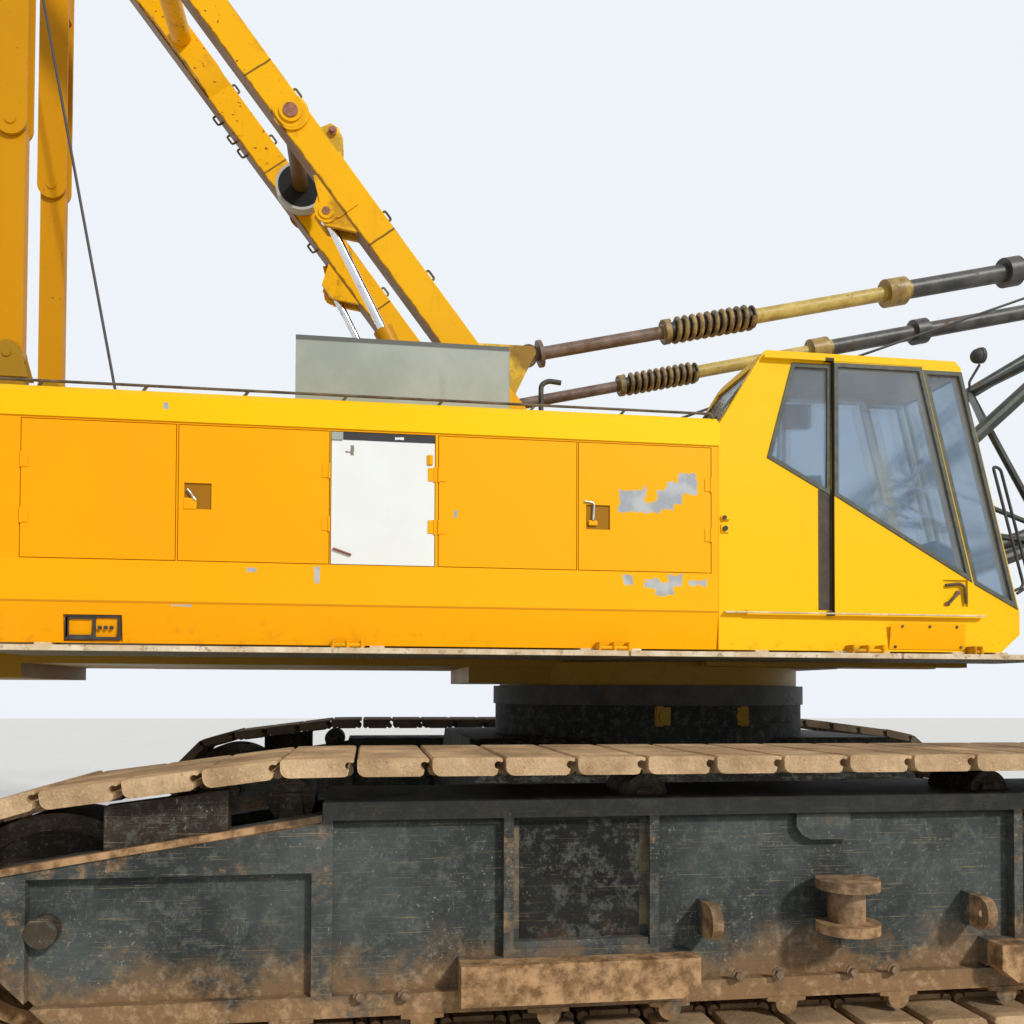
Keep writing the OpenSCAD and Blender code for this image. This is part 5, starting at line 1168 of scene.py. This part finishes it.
def gantryTrim(facts):
    rings, pins, beam, lugs, bracket, hooks = *(bmesh.new() for _ in range(5)), []
    inner, outer = strutY - facts["half"], strutY + facts["half"]
    for way in (-1, 1):
        start, (radius, long) = onStrut(bossAlong, 0, way * outer), facts["pin"]
        for ringRadius, high in facts["rings"]:
            addRing(rings, start, start + outwards(way, high), ringRadius, radius * 0.9)
        addTube(pins, start - outwards(way, 0.01), start + outwards(way, long), radius, 32)
    for way, face, spots in facts["hooks"]:
        v, out, long = face * facts["depth"], face * facts["hookOut"], facts["hookLong"]
        for u in spots:
            hooks.append([onStrut(u + along, v + out * share, way * strutY)
                          for along, share in ((0, -0.2), (0, 1), (long, 1), (long, 0.35))])
    u0, u1, u2, u3 = facts["web"]
    for way in (-1, 1):  # raised webs on the struts' inner faces, and the tube between them
        near, proud = way * inner, way * (inner - facts["webHigh"])
        profile = [onStrut(u, -facts["webHalf"], y)
                   for u, y in ((u0, near), (u1, proud), (u2, proud), (u3, near))]
        addSlab(beam, profile, strutDown * facts["webHalf"] * 2)
    addTube(beam, onStrut(*facts["tube"], -inner), onStrut(*facts["tube"], inner), facts["tubeRadius"], 32)
    newPiece("gantryCrossTube", beam, "gantry", "gantry")
    u, v = facts["eye"]
    outline = list(facts["lug"])
    for a in (math.radians(205 - 26 * step) for step in range(9)):
        outline.append((u + facts["eyeRadius"] * math.cos(a), v + facts["eyeRadius"] * math.sin(a)))
    for way in (-1, 1):  # plates on the struts' outer faces that hold the cylinders' rod pins
        addSlab(lugs, [onStrut(a, b, way * outer) for a, b in outline], outwards(way, facts["lugThick"]))
        face = onStrut(u, v, way * (outer + facts["lugThick"]))
        wide, bore, high = facts["eyeRing"]
        addRing(lugs, face, face + outwards(way, high), wide, bore, 32)
        radius, long = facts["eyePin"]
        addTube(pins, face, face + outwards(way, long), radius)
    newPiece("gantryLugs", lugs, "gantry", "gantry", 0)
    newPiece("gantryBossRings", rings, "gantry", "gantry")
    newPiece("gantryPins", pins, "rustyPin", "gantry")
    sweep("gantryHooks", "gantry", "body_yellow", hooks, facts["hookRadius"], "railSteel", 8, bend=0.02)
    for y in facts["bracketY"]:
        addSlab(bracket, [onStrut(u, v, y) for u, v in facts["bracket"]], (0, facts["bracketThick"], 0))
    near, far = (onStrut(*facts["bracketBolt"], y) for y in facts["boltY"])
    addTube(bracket, near, far, facts["boltRadius"])
    newPiece("gantryBracket", bracket, "gantry", "gantry")
    bolts("gantryBolts", "gantry", "machined_steel", [(near, (0, -1, 0))], 0.024, 0.022, "rustyPin")


gantryTrim(gantryFacts)

print("stage: backstops")

springFacts = {  # places along the backstops' axis, and radii
    "start": 1.345, "end": 2.175, "turns": 10.75, "coil": 0.098, "wire": 0.0225, "steps": 18,
    "tubes": ((1.345, 2.175, 0.078, 32), (2.165, 5.04, 0.068, 40)),  # from, to, radius, sides
    "collars": ((1.285, 1.345, 0.112), (2.163, 2.183, 0.104)),
}


def stopSpot(u, y, radius=0.0, angle=0.0):  # a place beside the axis
    spot = stopFoot + stopWay * u + stopAcross * (radius * math.cos(angle))
    return Vector((spot.x, y + radius * math.sin(angle), spot.z))


def makeSprings(facts):
    wires, bm = [], bmesh.new()
    low, high = facts["start"] + facts["wire"], facts["end"] - facts["wire"]
    steps = facts["steps"]
    count = int(facts["turns"] * steps)
    for y in (-strutY, strutY):
        wires.append([stopSpot(low + (high - low) * i / count, y, facts["coil"], 2 * math.pi * i / steps)
                      for i in range(count + 1)])
        for start, end, radius, sides in facts["tubes"]:
            addTube(bm, stopSpot(start, y), stopSpot(end, y), radius, sides)
        for start, end, radius in facts["collars"]:
            addTube(bm, stopSpot(start, y), stopSpot(end, y), radius, 48, bevel=0.006)
    tubes = newPiece("backstopMiddles", bm, "springs", "backstop_springs")
    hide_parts("backstop_springs")
    sweep("backstopCoils", "backstop_springs", "spring_ochre", wires, facts["wire"], "springs")


makeSprings(springFacts)

print("stage: frame and carbody")

frameFacts = {
    "boltsY": 3.985, "bolt": (0.024, 0.026),
    "bolts": ((-0.645, 0.361), (-0.407, 0.362), (0.042, 0.356), (0.295, 0.357), (-2.747, 0.337),
              (-2.51, 0.332)),
}
ringFacts = {"blocks": (-0.27, 0.42), "z": (1.665, 1.835), "radius": 1.44, "half": 0.075, "knob": 0.045}


def frameTrim(facts):
    heads = [(spot, (0, way, 0)) for way in sideWays.values()
             for spot in upright(facts["bolts"], way * facts["boltsY"])]
    bolts("frameBolts", "undercarriage", "frame_black", heads, *facts["bolt"], "frameBolt")


def ringBlocks(facts):  # two small housings on the slewing base
    (z0, z1), half = facts["z"], facts["half"]
    for side, way in sideWays.items():
        bm = bmesh.new()
        for x in facts["blocks"]:
            y = way * math.sqrt(facts["radius"] ** 2 - x ** 2)
            addPlate(bm, (x - half, x + half, z0, z1), y * 0.93, y + way * 0.05, 0.010)
            addPeg(bm, x, (z0 + z1) / 2, y, y + way * 0.065, facts["knob"], 20)
        newPiece(f"ringBlocks.{side}", bm, "deck", "undercarriage")


frameTrim(frameFacts)
ringBlocks(ringFacts)

print("stage: ropes")

ropeFacts = {"radius": 0.013, "drumRadius": 0.30, "sheave": 0.275, "points": 40, "headBack": -0.1}


def makeRopes(facts):
    radius, points = facts["radius"], facts["points"]
    start = jointPlace("boom_hoist_drum_spin") + Vector((-facts["drumRadius"], 0, 0))
    end = apexPlace + Vector((-facts["sheave"], 0, 0))
    rope = sweep("boomHoistRope", None, "rigging_black", [line(start, end, points)], radius, "rope", 8)
    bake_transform(rope)
    start = jointPlace("hoist_drum_spin") + Vector((0, 0, facts["drumRadius"]))
    low, high = (Vector(corner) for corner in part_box("head_sheaves"))
    end = (low + high) / 2 + Vector((facts["headBack"], 0, (high.z - low.z) / 2 + radius))
    rope = sweep("hoistRope", None, "rigging_black", [line(start, end, points * 2)], radius, "rope", 8)
    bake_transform(rope)


makeRopes(ropeFacts)

print("stage: stage and lights")

stageFacts = {
    "floorSize": 60, "floorColor": (0.80, 0.80, 0.78), "sky": (0.86, 0.90, 0.95, 1),  # the sky that is seen
    "fill": (0.92, 0.96, 1.0, 1), "skyLight": 0.50, "sunColor": (1.0, 0.97, 0.92),
    "sun": 2.5, "sunAngle": math.radians(6), "sunWay": (-0.42, 0.72, -0.52),
}


def makeFloor(facts):
    shade = Shade("studio floor", facts["floorColor"])
    shade.coat((0.6, 3, 0.55, 0.3, 0.7), 0.3, [part * 0.94 for part in facts["floorColor"]])
    bm = bmesh.new()
    bmesh.ops.create_grid(bm, x_segments=1, y_segments=1, size=facts["floorSize"])
    floor = bpy.data.objects.new("floor", keepMesh("floor", bm, shade.finish(rough=0.9)))
    link(floor)


def makeSky(facts):
    world = bpy.data.worlds.new("studio")
    bpy.context.scene.world = world
    world.use_nodes = True
    tree = world.node_tree
    tree.nodes.clear()
    rays = addNode(tree, "ShaderNodeLightPath").outputs
    seen = rays["Is Camera Ray"]
    for kind in ("Is Transmission Ray", "Is Glossy Ray"):
        seen = addNode(tree, "ShaderNodeMath", {"operation": "MAXIMUM"}, {0: seen, 1: rays[kind]}).outputs[0]
    fill, sky = (addNode(tree, "ShaderNodeBackground", None, {"Color": color, "Strength": strength})
                 for color, strength in ((facts["fill"], facts["skyLight"]), (facts["sky"], 1.0)))
    mixed = addNode(tree, "ShaderNodeMixShader", None, {0: seen, 1: fill.outputs[0], 2: sky.outputs[0]})
    addNode(tree, "ShaderNodeOutputWorld", None, {0: mixed.outputs[0]})


def makeSun(facts):
    sun = bpy.data.lights.new("sun", "SUN")
    sun.energy, sun.angle, sun.color = facts["sun"], facts["sunAngle"], facts["sunColor"]
    lamp = bpy.data.objects.new("sun", sun)
    lamp.rotation_euler = Vector(facts["sunWay"]).to_track_quat("-Z", "Y").to_euler()
    link(lamp)


makeFloor(stageFacts)
makeSky(stageFacts)
makeSun(stageFacts)
bpy.context.scene.view_settings.view_transform = "Standard"

print("stage: finish")
